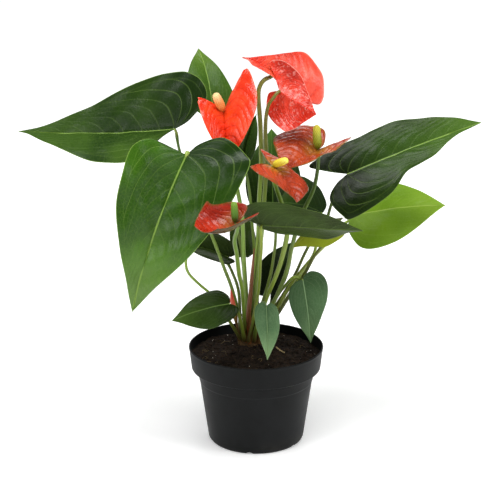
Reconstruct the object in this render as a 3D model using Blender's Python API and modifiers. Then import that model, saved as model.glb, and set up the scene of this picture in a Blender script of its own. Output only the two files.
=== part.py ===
"""Potted anthurium: a clump of heart-shaped leaves and six waxy flowers in a
14 cm nursery pot.

Frame: metres, +Z up. The origin is the centre of the pot's flat underside and
+Z is the pot's axis. -Y is the plant's display side. Blades and stems are laid
out in millimetres and scaled by MM.
"""
import bpy
import bmesh
import numpy as np
from math import radians, cos, sin, pi
from mathutils import Matrix, Vector

for _o in list(bpy.data.objects):
    bpy.data.objects.remove(_o, do_unlink=True)

MM = 0.001
GAP = 0.0003                  # clearance between pieces that touch

# ------------------------------------------------------------ pot
RIM_R = 0.0700                # 140 mm across the rim
POT_H = 0.1020
WALL = 0.0011
COLLAR_H = 0.0228             # depth of the rim collar
COLLAR_FOOT_R = 0.0672        # outside of the collar at its lower edge
BODY_TOP_R = 0.0612           # outside of the body under the collar
BODY_FOOT_R = 0.0503
FOOT_ROUND = 0.0030
STEP_Z = 0.0655               # a faint draft step around the body
STEP = 0.0005
POT_SIDES = 36
DRAIN_R = 0.0038              # round drain holes, set around the foot
DRAIN_RING = 0.0375
DRAIN_COUNT = 6
NOTCH_R = 0.0050              # arched notches through the foot's corner
NOTCH_COUNT = 6

# ------------------------------------------------------------ potting mix
SOIL_EDGE_Z = 0.0935
SOIL_TOP_Z = 0.0985
SOIL_TOP_R = 0.0200

# ------------------------------------------------------------ crown
CROWN_X, CROWN_Y = -0.005, 0.018
CROWN_R = 0.0158
CROWN_H = 0.0075
STEM_RINGS = (2.6, 7.6, 12.3)         # mm, radii on which the stems stand

# ------------------------------------------------------------ plant
LEAF_T = 0.8                  # mm
SPATHE_T = 1.0
LEAF_ROWS, LEAF_COLS = 12, 3          # grid of one half of a blade
PETIOLE_R = (1.9, 1.8, 1.65, 1.55, 1.3)      # mm, from the foot up
PEDUNCLE_R = (1.9, 2.1, 2.2, 2.1, 1.7)
STOUT = {"peduncle_2": (1.9, 1.7, 2.2, 2.4, 2.1), "peduncle_3": (1.9, 1.7, 2.1, 2.3, 1.4),
         "peduncle_5": (1.9, 2.1, 2.5, 2.4, 1.9), "petiole_02": (1.8, 1.4, 1.4, 1.4, 1.2)}
KNEE, KNEE_GAP = 5.5, 1.2       # mm, where the stem turns to meet its blade
STEM_POINTS = 12

# A blade hangs on four points (mm): where its stalk joins, its tip, and the
# widest point of the left and of the right margin, left being on the left hand
# of someone looking from the joint to the tip with the upper face up.
#   lobe   how far each basal lobe reaches back past the joint
#   lift   degrees by which the lobes turn up
#   arch   rise of the midrib, sway its sideways bow
#   curl   bulge of each half, gape the opening of the sinus, slim the taper
#   neck   half width of the lobe's inner edge, where it isn't the usual curve
LEAVES = {
    "leaf_01": dict(joint=(-81, -8, 332), tip=(-241, 25, 323), left=(-130, -42, 308),
                    right=(-79, 34, 382), lobe=(-12, 36), lift=(0, 10), arch=-5,
                    curl=(4, 4), slim=(0, 0.38), gape=(0.4, 0.45)),
    "leaf_02": dict(joint=(-67, -62, 318), tip=(-120, -92, 170), left=(-7, -80, 312),
                    right=(-121, -85, 316), lobe=(30, -4), lift=(10, 0), arch=12, sway=-5,
                    slim=(-0.1, 0.15), gape=(0.45, 0.74), neck=(None, 0.45)),
    "leaf_03": dict(joint=(93, 15, 281), tip=(232, 50, 327), left=(125, 45, 321),
                    right=(98, -15, 243), lobe=(36, 30), lift=(30, 10), arch=4,
                    curl=(2, 5), slim=(-0.1, 0.42), gape=(0.6, 0.45)),
    "leaf_04": dict(joint=(103, 60, 225), tip=(202, 75, 232), left=(131, 85, 251),
                    right=(121, 30, 196), lobe=(10, 9)),
    "leaf_05": dict(joint=(-45, 62, 343), tip=(-61, 112, 394), left=(-71, 66, 356),
                    right=(-20, 66, 341), lobe=(14, 8), slim=(0, 0.1)),
    "leaf_06": dict(joint=(-14, 55, 286), tip=(1, 90, 328), left=(-20, 58, 298),
                    right=(0, 50, 298), lobe=(8, 6)),
    "leaf_07": dict(joint=(18, 75, 233), tip=(17, 125, 305), left=(-11, 80, 252),
                    right=(48, 80, 254), lobe=(12, 12)),
    "leaf_08": dict(joint=(69, 48, 231), tip=(23, 34, 246), left=(49, 30, 224),
                    right=(50, 70, 261), lobe=(6, 6), slim=(0, -0.2)),
    "leaf_09": dict(joint=(5, -48, 245), tip=(103, -70, 245), left=(67, -28, 225),
                    right=(11, -72, 274), lobe=(8, 20), arch=0, slim=(0, 0.05)),
    "leaf_10": dict(joint=(83, 0, 235), tip=(37, -12, 211), left=(77, -17, 212),
                    right=(63, 8, 225), lobe=(6, 8)),
    "leaf_11": dict(joint=(-27, -38, 160), tip=(-84, -55, 148), left=(-44, -52, 137),
                    right=(-43, -24, 168), lobe=(8, 3)),
    "leaf_12": dict(joint=(10, -40, 157), tip=(11, -62, 109), left=(23, -46, 145),
                    right=(-2, -46, 152), lobe=(4, 5), arch=4),
    "leaf_13": dict(joint=(48, 3, 172), tip=(57, 0, 104), left=(73, 7, 167),
                    right=(33, -3, 154), lobe=(8, 0), arch=4, slim=(0.22, 0)),
    "leaf_14": dict(joint=(17, 50, 145), tip=(40, 78, 191), left=(0, 55, 166),
                    right=(32, 55, 155), lobe=(10, 10)),
    "leaf_15": dict(joint=(-30, 45, 184), tip=(-97, 62, 194), left=(-45, 22, 185),
                    right=(-50, 60, 205), lobe=(10, 8)),
    "leaf_16": dict(joint=(-14, 62, 186), tip=(-18, 95, 224), left=(-28, 62, 200),
                    right=(0, 60, 198), lobe=(8, 9)),
}
SPATHES = {
    "spathe_1": dict(joint=(-32, -22, 352), tip=(-28, -45, 306), left=(1, -34, 366),
                     right=(-56, -34, 360), lobe=(41, 13), lift=(10, 20), arch=6,
                     gape=(0.77, 0.97), neck=(0.50, 0.52)),
    "spathe_2": dict(joint=(16, 16, 381), tip=(-14, 12, 400), left=(6, 6, 386),
                     right=(53, 38, 404), lobe=(16, 60), lift=(0, 15), arch=3,
                     gape=(0.4, 0.2), slim=(-0.8, 0.45), curl=(2, 4)),
    "spathe_3": dict(joint=(23, -2, 368), tip=(58, -30, 351), left=(24, -20, 334),
                     right=(32, 6, 395), lobe=(10, 26), arch=4, gape=(0.3, 0.68),
                     slim=(0.3, 0.3), curl=(3, 5)),
    "spathe_4": dict(joint=(61, -14, 312), tip=(26, -38, 296), left=(60, -38, 308),
                     right=(22, 8, 322), lobe=(37, 22), arch=2, curl=(0, 6)),
    "spathe_5": dict(joint=(15, -58, 306), tip=(38, -80, 276), left=(42, -54, 288),
                     right=(-5, -80, 311), lobe=(27, 4), arch=5, slim=(-0.85, -0.3),
                     gape=(0.5, 0.6)),
    "spathe_6": dict(joint=(-20, -115, 265), tip=(-57, -126, 266), left=(-37, -138, 272),
                     right=(-45, -107, 287), lobe=(25, 18), arch=-6, curl=(-4, -5),
                     slim=(0, -0.7)),
}

# Stem routes (mm), from the top down; each runs on to its foot on the crown,
# given as (ring, bearing in degrees).
STEMS = {
    "petiole_01": ("leaf_01", (1, 180), [(-76, -5, 308), (-64, 5, 267), (-46, 10, 219),
                                         (-33, 12, 182), (-24, 14, 155)]),
    "petiole_02": ("leaf_02", (2, 208), [(-65, -47, 290), (-66, -34, 251), (-69, -24, 212),
                                         (-71, -19, 196), (-68, -15, 184), (-58, -9, 171),
                                         (-43, -2, 153)]),
    "petiole_03": ("leaf_03", (2, 345), [(81, 13, 261), (74, 17, 238), (69, 18, 208),
                                         (59, 15, 192), (50, 16, 174), (36, 17, 152)]),
    "petiole_04": ("leaf_04", (2, 33), [(84, 50, 214), (66, 44, 203), (60, 40, 187),
                                        (46, 35, 166), (32, 29, 142)]),
    "petiole_05": ("leaf_05", (1, 120), [(-42, 56, 307), (-33, 46, 272), (-23, 36, 232),
                                         (-14, 28, 186)]),
    "petiole_06": ("leaf_06", (2, 100), [(-7, 50, 255), (-4, 42, 220), (-2, 32, 182)]),
    "petiole_07": ("leaf_07", (1, 80), [(21, 62, 206), (19, 48, 185), (13, 34, 158)]),
    "petiole_08": ("leaf_08", (1, 40), [(63, 44, 213), (50, 36, 188), (41, 31, 169),
                                        (27, 26, 146)]),
    "petiole_09": ("leaf_09", (2, 258), [(5, -34, 220), (4, -22, 199), (2, -4, 161)]),
    "petiole_10": ("leaf_10", (2, 10), [(76, 16, 211), (53, 23, 183), (34, 22, 156)]),
    "petiole_11": ("leaf_11", (2, 235), [(-22, -24, 152), (-17, -10, 137)]),
    "petiole_12": ("leaf_12", (2, 282), [(8, -26, 157), (4, -12, 147)]),
    "petiole_13": ("leaf_13", (1, 0), [(39, 6, 174), (31, 11, 164), (21, 15, 148)]),
    "petiole_14": ("leaf_14", (2, 60), [(17, 57, 132), (12, 40, 121)]),
    "petiole_15": ("leaf_15", (2, 165), [(-25, 38, 169), (-18, 29, 148)]),
    "petiole_16": ("leaf_16", (2, 135), [(-12, 48, 166), (-10, 34, 146)]),
    "peduncle_1": ("spathe_1", (0, 210), [(-29, -8, 321), (-23, 0, 287), (-17, 4, 257),
                                          (-14, 6, 233), (-13, 9, 202), (-11, 12, 165)]),
    "peduncle_2": ("spathe_2", (0, 90), [(10, 12, 379), (5, 9, 375), (2, 7, 364), (4, 6, 333),
                                         (5, 6, 292), (3, 7, 256), (2, 9, 221),
                                         (-1, 12, 182), (-4, 15, 153)]),
    "peduncle_3": ("spathe_3", (0, 330), [(17, -10, 364), (11, -9, 353), (9, -6, 331),
                                          (10, -3, 295), (8, 0, 258), (6, 4, 223),
                                          (2, 9, 183), (-1, 13, 153)]),
    "peduncle_4": ("spathe_4", (1, 320), [(61, -10, 291), (57, -8, 270), (47, -5, 246),
                                          (41, -2, 227), (36, 1, 206), (32, 4, 184),
                                          (24, 9, 159)]),
    "peduncle_5": ("spathe_5", (1, 285), [(18, -50, 286), (26, -30, 257), (31, -16, 230),
                                          (27, -10, 203), (20, -4, 178), (11, 5, 152)]),
    "peduncle_6": ("spathe_6", (1, 215), [(-21, -95, 243), (-19, -68, 220), (-17, -40, 191),
                                          (-14, -17, 166)]),
}

# Spadix of each flower: pointing (mm towards its end), length and radius in mm.
SPADICES = {
    "spadix_1": ("spathe_1", (-8, -12, 20), 23.0, 4.2),
    "spadix_2": ("spathe_2", (12, -5, 6), 13.0, 2.7),
    "spadix_3": ("spathe_3", (7, 16, -8), 20.0, 3.4),
    "spadix_4": ("spathe_4", (-2, -4, 24), 25.0, 4.0),
    "spadix_5": ("spathe_5", (15, -12, 9), 19.0, 3.6),
    "spadix_6": ("spathe_6", (-1, 4, 19), 19.0, 3.2),
}

LEAF_COLOURS = {
    "leaf_01": (0.052, 0.120, 0.022), "leaf_02": (0.040, 0.115, 0.010),
    "leaf_03": (0.052, 0.110, 0.024), "leaf_04": (0.165, 0.320, 0.028),
    "leaf_05": (0.110, 0.195, 0.044), "leaf_06": (0.030, 0.070, 0.018),
    "leaf_07": (0.034, 0.085, 0.020), "leaf_08": (0.030, 0.070, 0.018),
    "leaf_09": (0.042, 0.068, 0.014), "leaf_10": (0.130, 0.150, 0.018),
    "leaf_11": (0.040, 0.080, 0.018), "leaf_12": (0.100, 0.190, 0.110),
    "leaf_13": (0.080, 0.150, 0.080), "leaf_14": (0.018, 0.034, 0.010),
    "leaf_15": (0.026, 0.046, 0.012), "leaf_16": (0.032, 0.062, 0.014),
}
SPATHE_COLOURS = {
    "spathe_1": (0.880, 0.080, 0.022), "spathe_2": (0.900, 0.120, 0.080),
    "spathe_3": (0.680, 0.050, 0.020), "spathe_4": (0.560, 0.110, 0.030),
    "spathe_5": (0.620, 0.070, 0.026), "spathe_6": (0.420, 0.060, 0.020),
}
SPADIX_COLOURS = {
    "spadix_1": (0.800, 0.330, 0.080), "spadix_2": (0.800, 0.450, 0.120),
    "spadix_3": (0.780, 0.460, 0.100), "spadix_4": (0.380, 0.400, 0.030),
    "spadix_5": (0.820, 0.640, 0.040), "spadix_6": (0.100, 0.200, 0.020),
}


# ================================================================ tools
parts = bpy.data.collections.new("potted_anthurium")
cutters = bpy.data.collections.new("cutters")
bpy.context.scene.collection.children.link(parts)
bpy.context.scene.collection.children.link(cutters)


def material(name, colour, roughness, metallic=0.0):
    m = bpy.data.materials.new(name)
    m.use_nodes = True
    p = m.node_tree.nodes["Principled BSDF"]
    p.inputs["Base Color"].default_value = (*colour, 1)
    p.inputs["Roughness"].default_value = roughness
    p.inputs["Metallic"].default_value = metallic
    m.diffuse_color = (*colour, 1)
    return m


def add(name, data, mat, parent=None, location=(0, 0, 0)):
    o = bpy.data.objects.new(name, data)
    parts.objects.link(o)
    data.materials.append(mat)
    o.parent = parent
    o.location = location
    return o


def smooth(mesh, angle=35):
    mesh.shade_smooth()
    mesh.set_sharp_from_angle(angle=radians(angle))


def screw(o, steps):
    s = o.modifiers.new("turn", "SCREW")
    s.axis = 'Z'
    s.angle = 2 * pi
    s.steps = steps
    s.render_steps = steps
    s.use_merge_vertices = True
    s.merge_threshold = 0.00001


def profile(name, points):
    """An open polyline of (radius, height) in the XZ plane."""
    me = bpy.data.meshes.new(name)
    bm = bmesh.new()
    vs = [bm.verts.new((r, 0, z)) for r, z in points]
    for a, b in zip(vs, vs[1:]):
        bm.edges.new((a, b))
    bm.to_mesh(me)
    bm.free()
    return me


def catmull(points, n):
    """n points on a smooth curve through the given points."""
    P = np.asarray(points, float)
    P = np.vstack([2 * P[0] - P[1], P, 2 * P[-1] - P[-2]])
    m = len(P) - 3
    out = np.zeros((n, P.shape[1]))
    for j, t in enumerate(np.linspace(0, m, n)):
        i = min(int(t), m - 1)
        f = t - i
        a, b, c, d = P[i], P[i + 1], P[i + 2], P[i + 3]
        out[j] = 0.5 * (2 * b + (c - a) * f + (2 * a - 5 * b + 4 * c - d) * f * f
                        + (3 * b - a - 3 * c + d) * f ** 3)
    return out


def even(points, n):
    """n points evenly spaced along a smooth curve through the given points."""
    fine = catmull(points, 40 * len(points))
    s = np.r_[0, np.cumsum(np.linalg.norm(np.diff(fine, axis=0), axis=1))]
    t = np.linspace(0, s[-1], n)
    return np.stack([np.interp(t, s, fine[:, k]) for k in range(3)], -1)


def unit(v):
    return v / np.linalg.norm(v)


# ---------------------------------------------------------------- blades
def half_outline(length, width, lobe, wide_at, gape, slim, n, start=0.0, neck=None):
    """Flat margin of one half of the heart, from the sinus round the lobe to the
    tip: x runs along the midrib from the joint, y away from it."""
    r = length - wide_at
    inner = (0.22 + 1.6 * max(gape - 0.4, 0)) * gape if neck is None else neck
    pts = [(0, 0), (-0.52 * lobe, inner * width), (-lobe, gape * width),
           (wide_at - 0.66 * (wide_at + lobe), (0.74 + 0.24 * gape) * width),
           (wide_at, width),
           (wide_at + 0.29 * r, (0.91 - 0.22 * slim) * width),
           (wide_at + 0.57 * r, (0.62 - 0.55 * slim) * width),
           (wide_at + 0.83 * r, (0.23 - 0.30 * slim) * width), (length, 0)]
    full = catmull(pts, 161)[int(round(start * 160)):]
    seg = np.r_[0, np.cumsum(np.hypot(*np.diff(full, axis=0).T))]
    s = np.linspace(0, seg[-1], n)
    return np.stack([np.interp(s, seg, full[:, 0]), np.interp(s, seg, full[:, 1])], -1)


SPINE = 33


class Blade:
    """A heart-shaped blade hung on its joint, its tip and its two widest points."""

    def __init__(self, joint, tip, left, right, lobe=(12, 12), lift=(10, 10), arch=6.0,
                 sway=0.0, curl=(2.0, 2.0), gape=(0.4, 0.4), slim=(0.0, 0.0), neck=(None, None)):
        J, T = np.array(joint, float), np.array(tip, float)
        self.J, self.L = J, float(np.linalg.norm(T - J))
        self.lobe, self.lift, self.curl = lobe, [radians(a) for a in lift], curl
        self.gape, self.slim, self.neck = gape, slim, neck
        c = unit(T - J)
        d, self.W, self.wide = [], [], []
        for S in (left, right):
            v = np.array(S, float) - J
            a = float(v @ c)
            w = v - a * c
            self.W.append(float(np.linalg.norm(w)))
            self.wide.append(min(max(a, -0.6 * self.L), 0.5 * self.L))
            d.append(unit(w))
        side = unit(d[0] - d[1])
        side = unit(side - (side @ c) * c)
        up = np.cross(c, side)
        self.fold = [np.arctan2(d[0] @ up, d[0] @ side), np.arctan2(d[1] @ up, -(d[1] @ side))]
        s = np.linspace(0, 1, SPINE)
        bow = 4 * s * (1 - s)
        self.pos = J + np.outer(s * self.L, c) + np.outer(bow * arch, up) + np.outer(bow * sway, side)
        t = np.gradient(self.pos, axis=0)
        t /= np.linalg.norm(t, axis=1)[:, None]
        lat = side - (t @ side)[:, None] * t
        lat /= np.linalg.norm(lat, axis=1)[:, None]
        self.t, self.lat, self.nrm = t, lat, np.cross(t, lat)

    def place(self, h, x, y):
        """Points of half h (0 left, 1 right) at flat coordinates x, y."""
        f = np.clip(x, 0, self.L) / self.L * (SPINE - 1)
        i = np.clip(f.astype(int), 0, SPINE - 2)
        f = (f - i)[..., None]
        P = self.pos[i] * (1 - f) + self.pos[i + 1] * f
        t = self.t[i] * (1 - f) + self.t[i + 1] * f
        l = self.lat[i] * (1 - f) + self.lat[i + 1] * f
        n = self.nrm[i] * (1 - f) + self.nrm[i + 1] * f
        back = -np.minimum(x, 0)
        k = max(self.lift[h], 1e-4) / max(self.lobe[h], 2.0)
        P = P - t * (np.sin(k * back) / k)[..., None] + n * ((1 - np.cos(k * back)) / k)[..., None]
        a = (k * back)[..., None]
        n = n * np.cos(a) + t * np.sin(a)
        g = self.fold[h]
        q = y / self.W[h]
        out = l * (1 if h == 0 else -1)
        P = P + out * (y * cos(g))[..., None] + n * (y * sin(g))[..., None]
        return P + (n * cos(g) - out * sin(g)) * (self.curl[h] * 4 * q * (1 - q))[..., None]

    def grid(self, h, rows, cols):
        """(rows, cols, 3) points: row 0 edges the sinus, the last row is the tip."""
        E = half_outline(self.L, self.W[h], self.lobe[h], self.wide[h], self.gape[h],
                         self.slim[h], rows, 0.06, self.neck[h])
        s = np.clip((np.linspace(0, 1, rows) - 0.36) / 0.64, 0, 1) ** 1.15 * self.L
        k = np.linspace(0, 1, cols)
        S = np.stack([s, 0 * s], -1)
        F = S[:, None] * (1 - k)[None, :, None] + E[:, None] * k[None, :, None]
        return self.place(h, F[..., 0], F[..., 1])


def make_blade(name, blade, thickness, mat, parent):
    """A flat grid shaped into the heart, its joint and tip ends gathered, then
    thickened evenly about its middle surface."""
    rows, cols = LEAF_ROWS, LEAF_COLS
    G = [blade.grid(h, rows, cols) for h in (0, 1)]
    bm = bmesh.new()
    bmesh.ops.create_grid(bm, x_segments=2 * (cols - 1), y_segments=rows - 1, size=1)
    for v in bm.verts:
        c = int(round((v.co.x + 1) * (cols - 1))) - (cols - 1)
        r = int(round((v.co.y + 1) / 2 * (rows - 1)))
        v.co = Vector(G[0 if c <= 0 else 1][r, abs(c)] - blade.J) * MM
    bmesh.ops.remove_doubles(bm, verts=bm.verts, dist=1e-6)
    me = bpy.data.meshes.new(name)
    bm.to_mesh(me)
    bm.free()
    smooth(me, 60)
    o = add(name, me, mat, parent, Vector(blade.J) * MM)
    s = o.modifiers.new("thickness", "SOLIDIFY")
    s.thickness = thickness * MM
    s.offset = 0.0
    s.use_rim = True
    return o


# ---------------------------------------------------------------- stems
def tube(name, route, radii, mat, parent, n):
    """A tapered round stem along a smooth route, with filled ends."""
    P = even(route, n)
    cu = bpy.data.curves.new(name, 'CURVE')
    cu.dimensions = '3D'
    cu.bevel_depth = MM
    cu.bevel_resolution = 2
    cu.render_resolution_u = 0
    cu.use_fill_caps = True
    sp = cu.splines.new('POLY')
    sp.points.add(n - 1)
    for i, p in enumerate(P):
        sp.points[i].co = (*((p - P[0]) * MM), 1)
        sp.points[i].radius = float(np.interp(i / (n - 1), np.linspace(0, 1, len(radii)), radii))
    sp.use_smooth = True
    return add(name, cu, mat, parent, Vector(P[0]) * MM)


def crown_height(r):
    """Height of the crown's domed top above the potting mix, at radius r."""
    return CROWN_H * (1 - (r / CROWN_R) ** 2 * 0.62)


def foot(ring, bearing):
    r = STEM_RINGS[ring]
    a = radians(bearing)
    z = SOIL_TOP_Z + crown_height(r * MM) + 0.0009
    return (CROWN_X / MM + r * cos(a), CROWN_Y / MM + r * sin(a), z / MM)


# ================================================================ pot
def build_pot():
    k = COLLAR_H
    taper = (BODY_TOP_R - BODY_FOOT_R) / (POT_H - COLLAR_H)

    def body(z, inset=0.0):
        return BODY_FOOT_R + taper * z - (STEP if z < STEP_Z else 0) - inset

    zc = POT_H - k
    pts = [(0, WALL + 0.0002), (body(0.004, WALL) - 0.0015, WALL + 0.0002),
           (body(0.004, WALL), 0.0040), (body(STEP_Z - 0.0006, WALL), STEP_Z - 0.0006),
           (body(STEP_Z + 0.0006, WALL), STEP_Z + 0.0006),
           (body(zc - 0.0012, WALL), zc - 0.0002),
           (COLLAR_FOOT_R - 0.0013, zc + 0.0012),
           (RIM_R - 0.0019, POT_H - 0.0008), (RIM_R - 0.0013, POT_H), (RIM_R - 0.0004, POT_H),
           (RIM_R, POT_H - 0.0006), (RIM_R - 0.0005, POT_H - 0.0030),
           (COLLAR_FOOT_R, zc), (COLLAR_FOOT_R - 0.0008, zc - 0.0006),
           (body(zc - 0.0016), zc - 0.0016),
           (body(STEP_Z + 0.0006), STEP_Z + 0.0006), (body(STEP_Z - 0.0006), STEP_Z - 0.0006),
           (body(FOOT_ROUND), FOOT_ROUND), (body(0) - 0.0008, 0.0009), (body(0) - 0.0028, 0),
           (0, 0)]
    o = add("pot", profile("pot", pts), material("black_plastic", (0.016, 0.017, 0.018), 0.42))
    screw(o, POT_SIDES)
    for i in range(DRAIN_COUNT):
        a = 2 * pi * (i + 0.5) / DRAIN_COUNT + radians(4)
        bpy.ops.mesh.primitive_cylinder_add(vertices=12, radius=DRAIN_R, depth=0.006,
                                            location=(DRAIN_RING * cos(a), DRAIN_RING * sin(a), 0.0005))
        cut(o, bpy.context.object, "drain_%d" % (i + 1))
    for i in range(NOTCH_COUNT):
        a = 2 * pi * i / NOTCH_COUNT + radians(-98)
        bpy.ops.mesh.primitive_cylinder_add(vertices=12, radius=NOTCH_R, depth=0.009,
                                            location=(0.0490 * cos(a), 0.0490 * sin(a), -0.0026),
                                            rotation=(0, pi / 2, a))
        cut(o, bpy.context.object, "notch_%d" % (i + 1))
    return o


def cut(o, tool, name):
    tool.name = name
    for c in list(tool.users_collection):
        c.objects.unlink(tool)
    cutters.objects.link(tool)
    tool.hide_render = True
    tool.display_type = 'WIRE'
    b = o.modifiers.new(name, "BOOLEAN")
    b.operation = 'DIFFERENCE'
    b.object = tool


def build_soil():
    taper = (BODY_TOP_R - BODY_FOOT_R) / (POT_H - COLLAR_H)
    zc = POT_H - COLLAR_H
    g = WALL + STEP + 0.0004

    def body(z):
        return BODY_FOOT_R + taper * z - g

    rim_in = COLLAR_FOOT_R - 0.0013 + (RIM_R - 0.0019 - COLLAR_FOOT_R + 0.0013) \
        * (SOIL_EDGE_Z - zc - 0.0012) / (COLLAR_H - 0.002) - 0.0004
    pts = [(0, SOIL_TOP_Z), (SOIL_TOP_R, SOIL_TOP_Z), (0.034, SOIL_TOP_Z - 0.0016),
           (0.052, SOIL_TOP_Z - 0.0038), (rim_in - 0.0015, SOIL_EDGE_Z), (rim_in, SOIL_EDGE_Z - 0.0012),
           (COLLAR_FOOT_R - 0.0019, zc + 0.0019), (body(zc), zc + 0.0007), (body(zc - 0.003), zc - 0.003),
           (body(0.006), 0.006), (body(0.006) - 0.0025, WALL + 0.0006), (0, WALL + 0.0006)]
    o = add("soil", profile("soil", pts), material("potting_mix", (0.018, 0.013, 0.009), 0.95))
    screw(o, 32)
    return o


def build_crown():
    n = 5
    pts = [(0, CROWN_H)]
    pts += [(CROWN_R * i / n, crown_height(CROWN_R * i / n)) for i in range(1, n + 1)]
    pts += [(CROWN_R + 0.0004, CROWN_H * 0.18), (CROWN_R, GAP), (0, GAP)]
    o = add("crown", profile("crown", pts), material("crown_bark", (0.070, 0.050, 0.022), 0.8),
            plant, (CROWN_X, CROWN_Y, SOIL_TOP_Z))
    screw(o, 20)
    return o


def build_spadix(name, spathe, direction, length, radius, colour, blade):
    """A tapered finger of packed florets standing on the spathe at its joint."""
    L, R = length * MM, radius * MM
    pts = [(0, L), (0.45 * R, 0.985 * L), (0.78 * R, 0.93 * L), (0.92 * R, 0.80 * L),
           (R, 0.50 * L), (0.94 * R, 0.25 * L), (0.55 * R, 0.10 * L), (0.30 * R, 0.0), (0, 0)]
    d = Vector(direction).normalized()
    at = Vector(blade.J + blade.nrm[0] * 1.3) * MM + d * 0.0010
    o = add(name, profile(name, pts), material(name + "_florets", colour, 0.5), plant, at)
    o.rotation_euler = Vector((0, 0, 1)).rotation_difference(d).to_euler()
    screw(o, 10)
    return o


pot = build_pot()
soil = build_soil()
plant = bpy.data.objects.new("plant", None)
parts.objects.link(plant)
crown = build_crown()

blades = {}
for name, spec in LEAVES.items():
    blades[name] = Blade(**spec)
    make_blade(name, blades[name], LEAF_T, material(name + "_green", LEAF_COLOURS[name], 0.35), plant)
for name, spec in SPATHES.items():
    blades[name] = Blade(**spec)
    make_blade(name, blades[name], SPATHE_T, material(name + "_wax", SPATHE_COLOURS[name], 0.22), plant)

for name, (owner, stand, route) in STEMS.items():
    b = blades[owner]
    leaf = owner.startswith("leaf")
    radii = STOUT.get(name, PETIOLE_R if leaf else PEDUNCLE_R)
    half = (LEAF_T if leaf else SPATHE_T) / 2
    under = -b.nrm[0]                       # the stem meets the blade from beneath
    top = b.J + under * (half + KNEE_GAP)
    knee = b.J + under * KNEE
    path = [foot(*stand)] + list(reversed(route)) + [tuple(knee), tuple(top)]
    colour = (0.130, 0.190, 0.028) if leaf else (0.200, 0.260, 0.035)
    tube(name, path, radii, material(name + "_green", colour, 0.4), plant, STEM_POINTS)

for name, (spathe, direction, length, radius) in SPADICES.items():
    build_spadix(name, spathe, direction, length, radius, SPADIX_COLOURS[name], blades[spathe])

# a rolled young flower and a spear of new leaf, at the front of the crown
tube("flower_bud", [foot(2, 187), (-21, 10, 125), (-23.5, 4, 142), (-26, 2, 162)],
     (1.1, 1.3, 2.6, 3.2, 2.0, 0.4), material("bud_red", (0.60, 0.13, 0.09), 0.4), plant, 10)
tube("leaf_spear", [foot(1, 250), (-8, 9, 130), (-5, 7, 165), (-2, 6, 205)],
     (1.6, 2.1, 2.3, 1.8, 0.4), material("spear_brown", (0.16, 0.09, 0.035), 0.5), plant, 10)
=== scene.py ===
"""Potted anthurium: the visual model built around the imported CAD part.

Everything is laid out in the CAD frame: metres, +Z up, the origin at the centre
of the pot's underside, -Y towards the camera. Blades and stems are described in
millimetres on the same joints, tips and routes as the CAD, and are built here
as fine meshes with veins, puckers, thin margins and swollen stalk joints.
"""
import bpy
import bmesh
import numpy as np
from math import radians, cos, sin, pi
from mathutils import Matrix, Vector, noise


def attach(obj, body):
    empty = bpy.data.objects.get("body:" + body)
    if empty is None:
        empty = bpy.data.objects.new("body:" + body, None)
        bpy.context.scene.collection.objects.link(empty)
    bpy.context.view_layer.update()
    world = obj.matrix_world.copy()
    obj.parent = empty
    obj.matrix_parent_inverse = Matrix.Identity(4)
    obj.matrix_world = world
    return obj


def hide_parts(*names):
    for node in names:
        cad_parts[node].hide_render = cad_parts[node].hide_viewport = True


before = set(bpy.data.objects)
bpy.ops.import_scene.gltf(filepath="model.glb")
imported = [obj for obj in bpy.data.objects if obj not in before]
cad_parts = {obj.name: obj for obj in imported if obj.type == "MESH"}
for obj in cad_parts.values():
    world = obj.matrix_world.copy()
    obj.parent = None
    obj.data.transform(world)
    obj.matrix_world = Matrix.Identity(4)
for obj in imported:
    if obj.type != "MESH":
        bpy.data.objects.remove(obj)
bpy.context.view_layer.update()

MM = 0.001
scene = bpy.context.scene

# ================================================================ camera
cam_data = bpy.data.cameras.new("camera")
cam_data.sensor_width = 36.0
cam_data.lens = 99.5
cam_data.clip_start = 0.05
cam_data.clip_end = 60
cam = bpy.data.objects.new("camera", cam_data)
scene.collection.objects.link(cam)
cam.location = (-0.0063, -1.35, 0.61)
cam.rotation_euler = (radians(90 - 16.7), 0, 0)
scene.camera = cam

# ================================================================ sizes, as in the CAD
RIM_R = 0.0700                # 140 mm across the rim
POT_H = 0.1020
WALL = 0.0011
COLLAR_H = 0.0228             # depth of the rim collar
COLLAR_FOOT_R = 0.0672        # outside of the collar at its lower edge
BODY_TOP_R = 0.0612           # outside of the body under the collar
BODY_FOOT_R = 0.0503
FOOT_ROUND = 0.0030
STEP_Z = 0.0655               # a faint draft step around the body
STEP = 0.0005
DRAIN_R = 0.0038              # round drain holes, set around the foot
DRAIN_RING = 0.0375
DRAIN_COUNT = 6
NOTCH_R = 0.0050              # arched notches through the foot's corner
NOTCH_COUNT = 6

# ------------------------------------------------------------ potting mix
SOIL_EDGE_Z = 0.0935
SOIL_TOP_Z = 0.0985
SOIL_TOP_R = 0.0200

# ------------------------------------------------------------ crown
CROWN_X, CROWN_Y = -0.005, 0.018
CROWN_R = 0.0158
CROWN_H = 0.0075
STEM_RINGS = (2.6, 7.6, 12.3)         # mm, radii on which the stems stand

# ------------------------------------------------------------ plant
LEAF_T = 0.8                  # mm
SPATHE_T = 1.0
PETIOLE_R = (1.9, 1.8, 1.65, 1.55, 1.3)      # mm, from the foot up
PEDUNCLE_R = (1.9, 2.1, 2.2, 2.1, 1.7)
STOUT = {"peduncle_2": (1.9, 1.7, 2.2, 2.4, 2.1), "peduncle_3": (1.9, 1.7, 2.1, 2.3, 1.4),
         "peduncle_5": (1.9, 2.1, 2.5, 2.4, 1.9), "petiole_02": (1.8, 1.4, 1.4, 1.4, 1.2)}
KNEE, KNEE_GAP = 5.5, 1.2       # mm, where the stem turns to meet its blade

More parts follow.
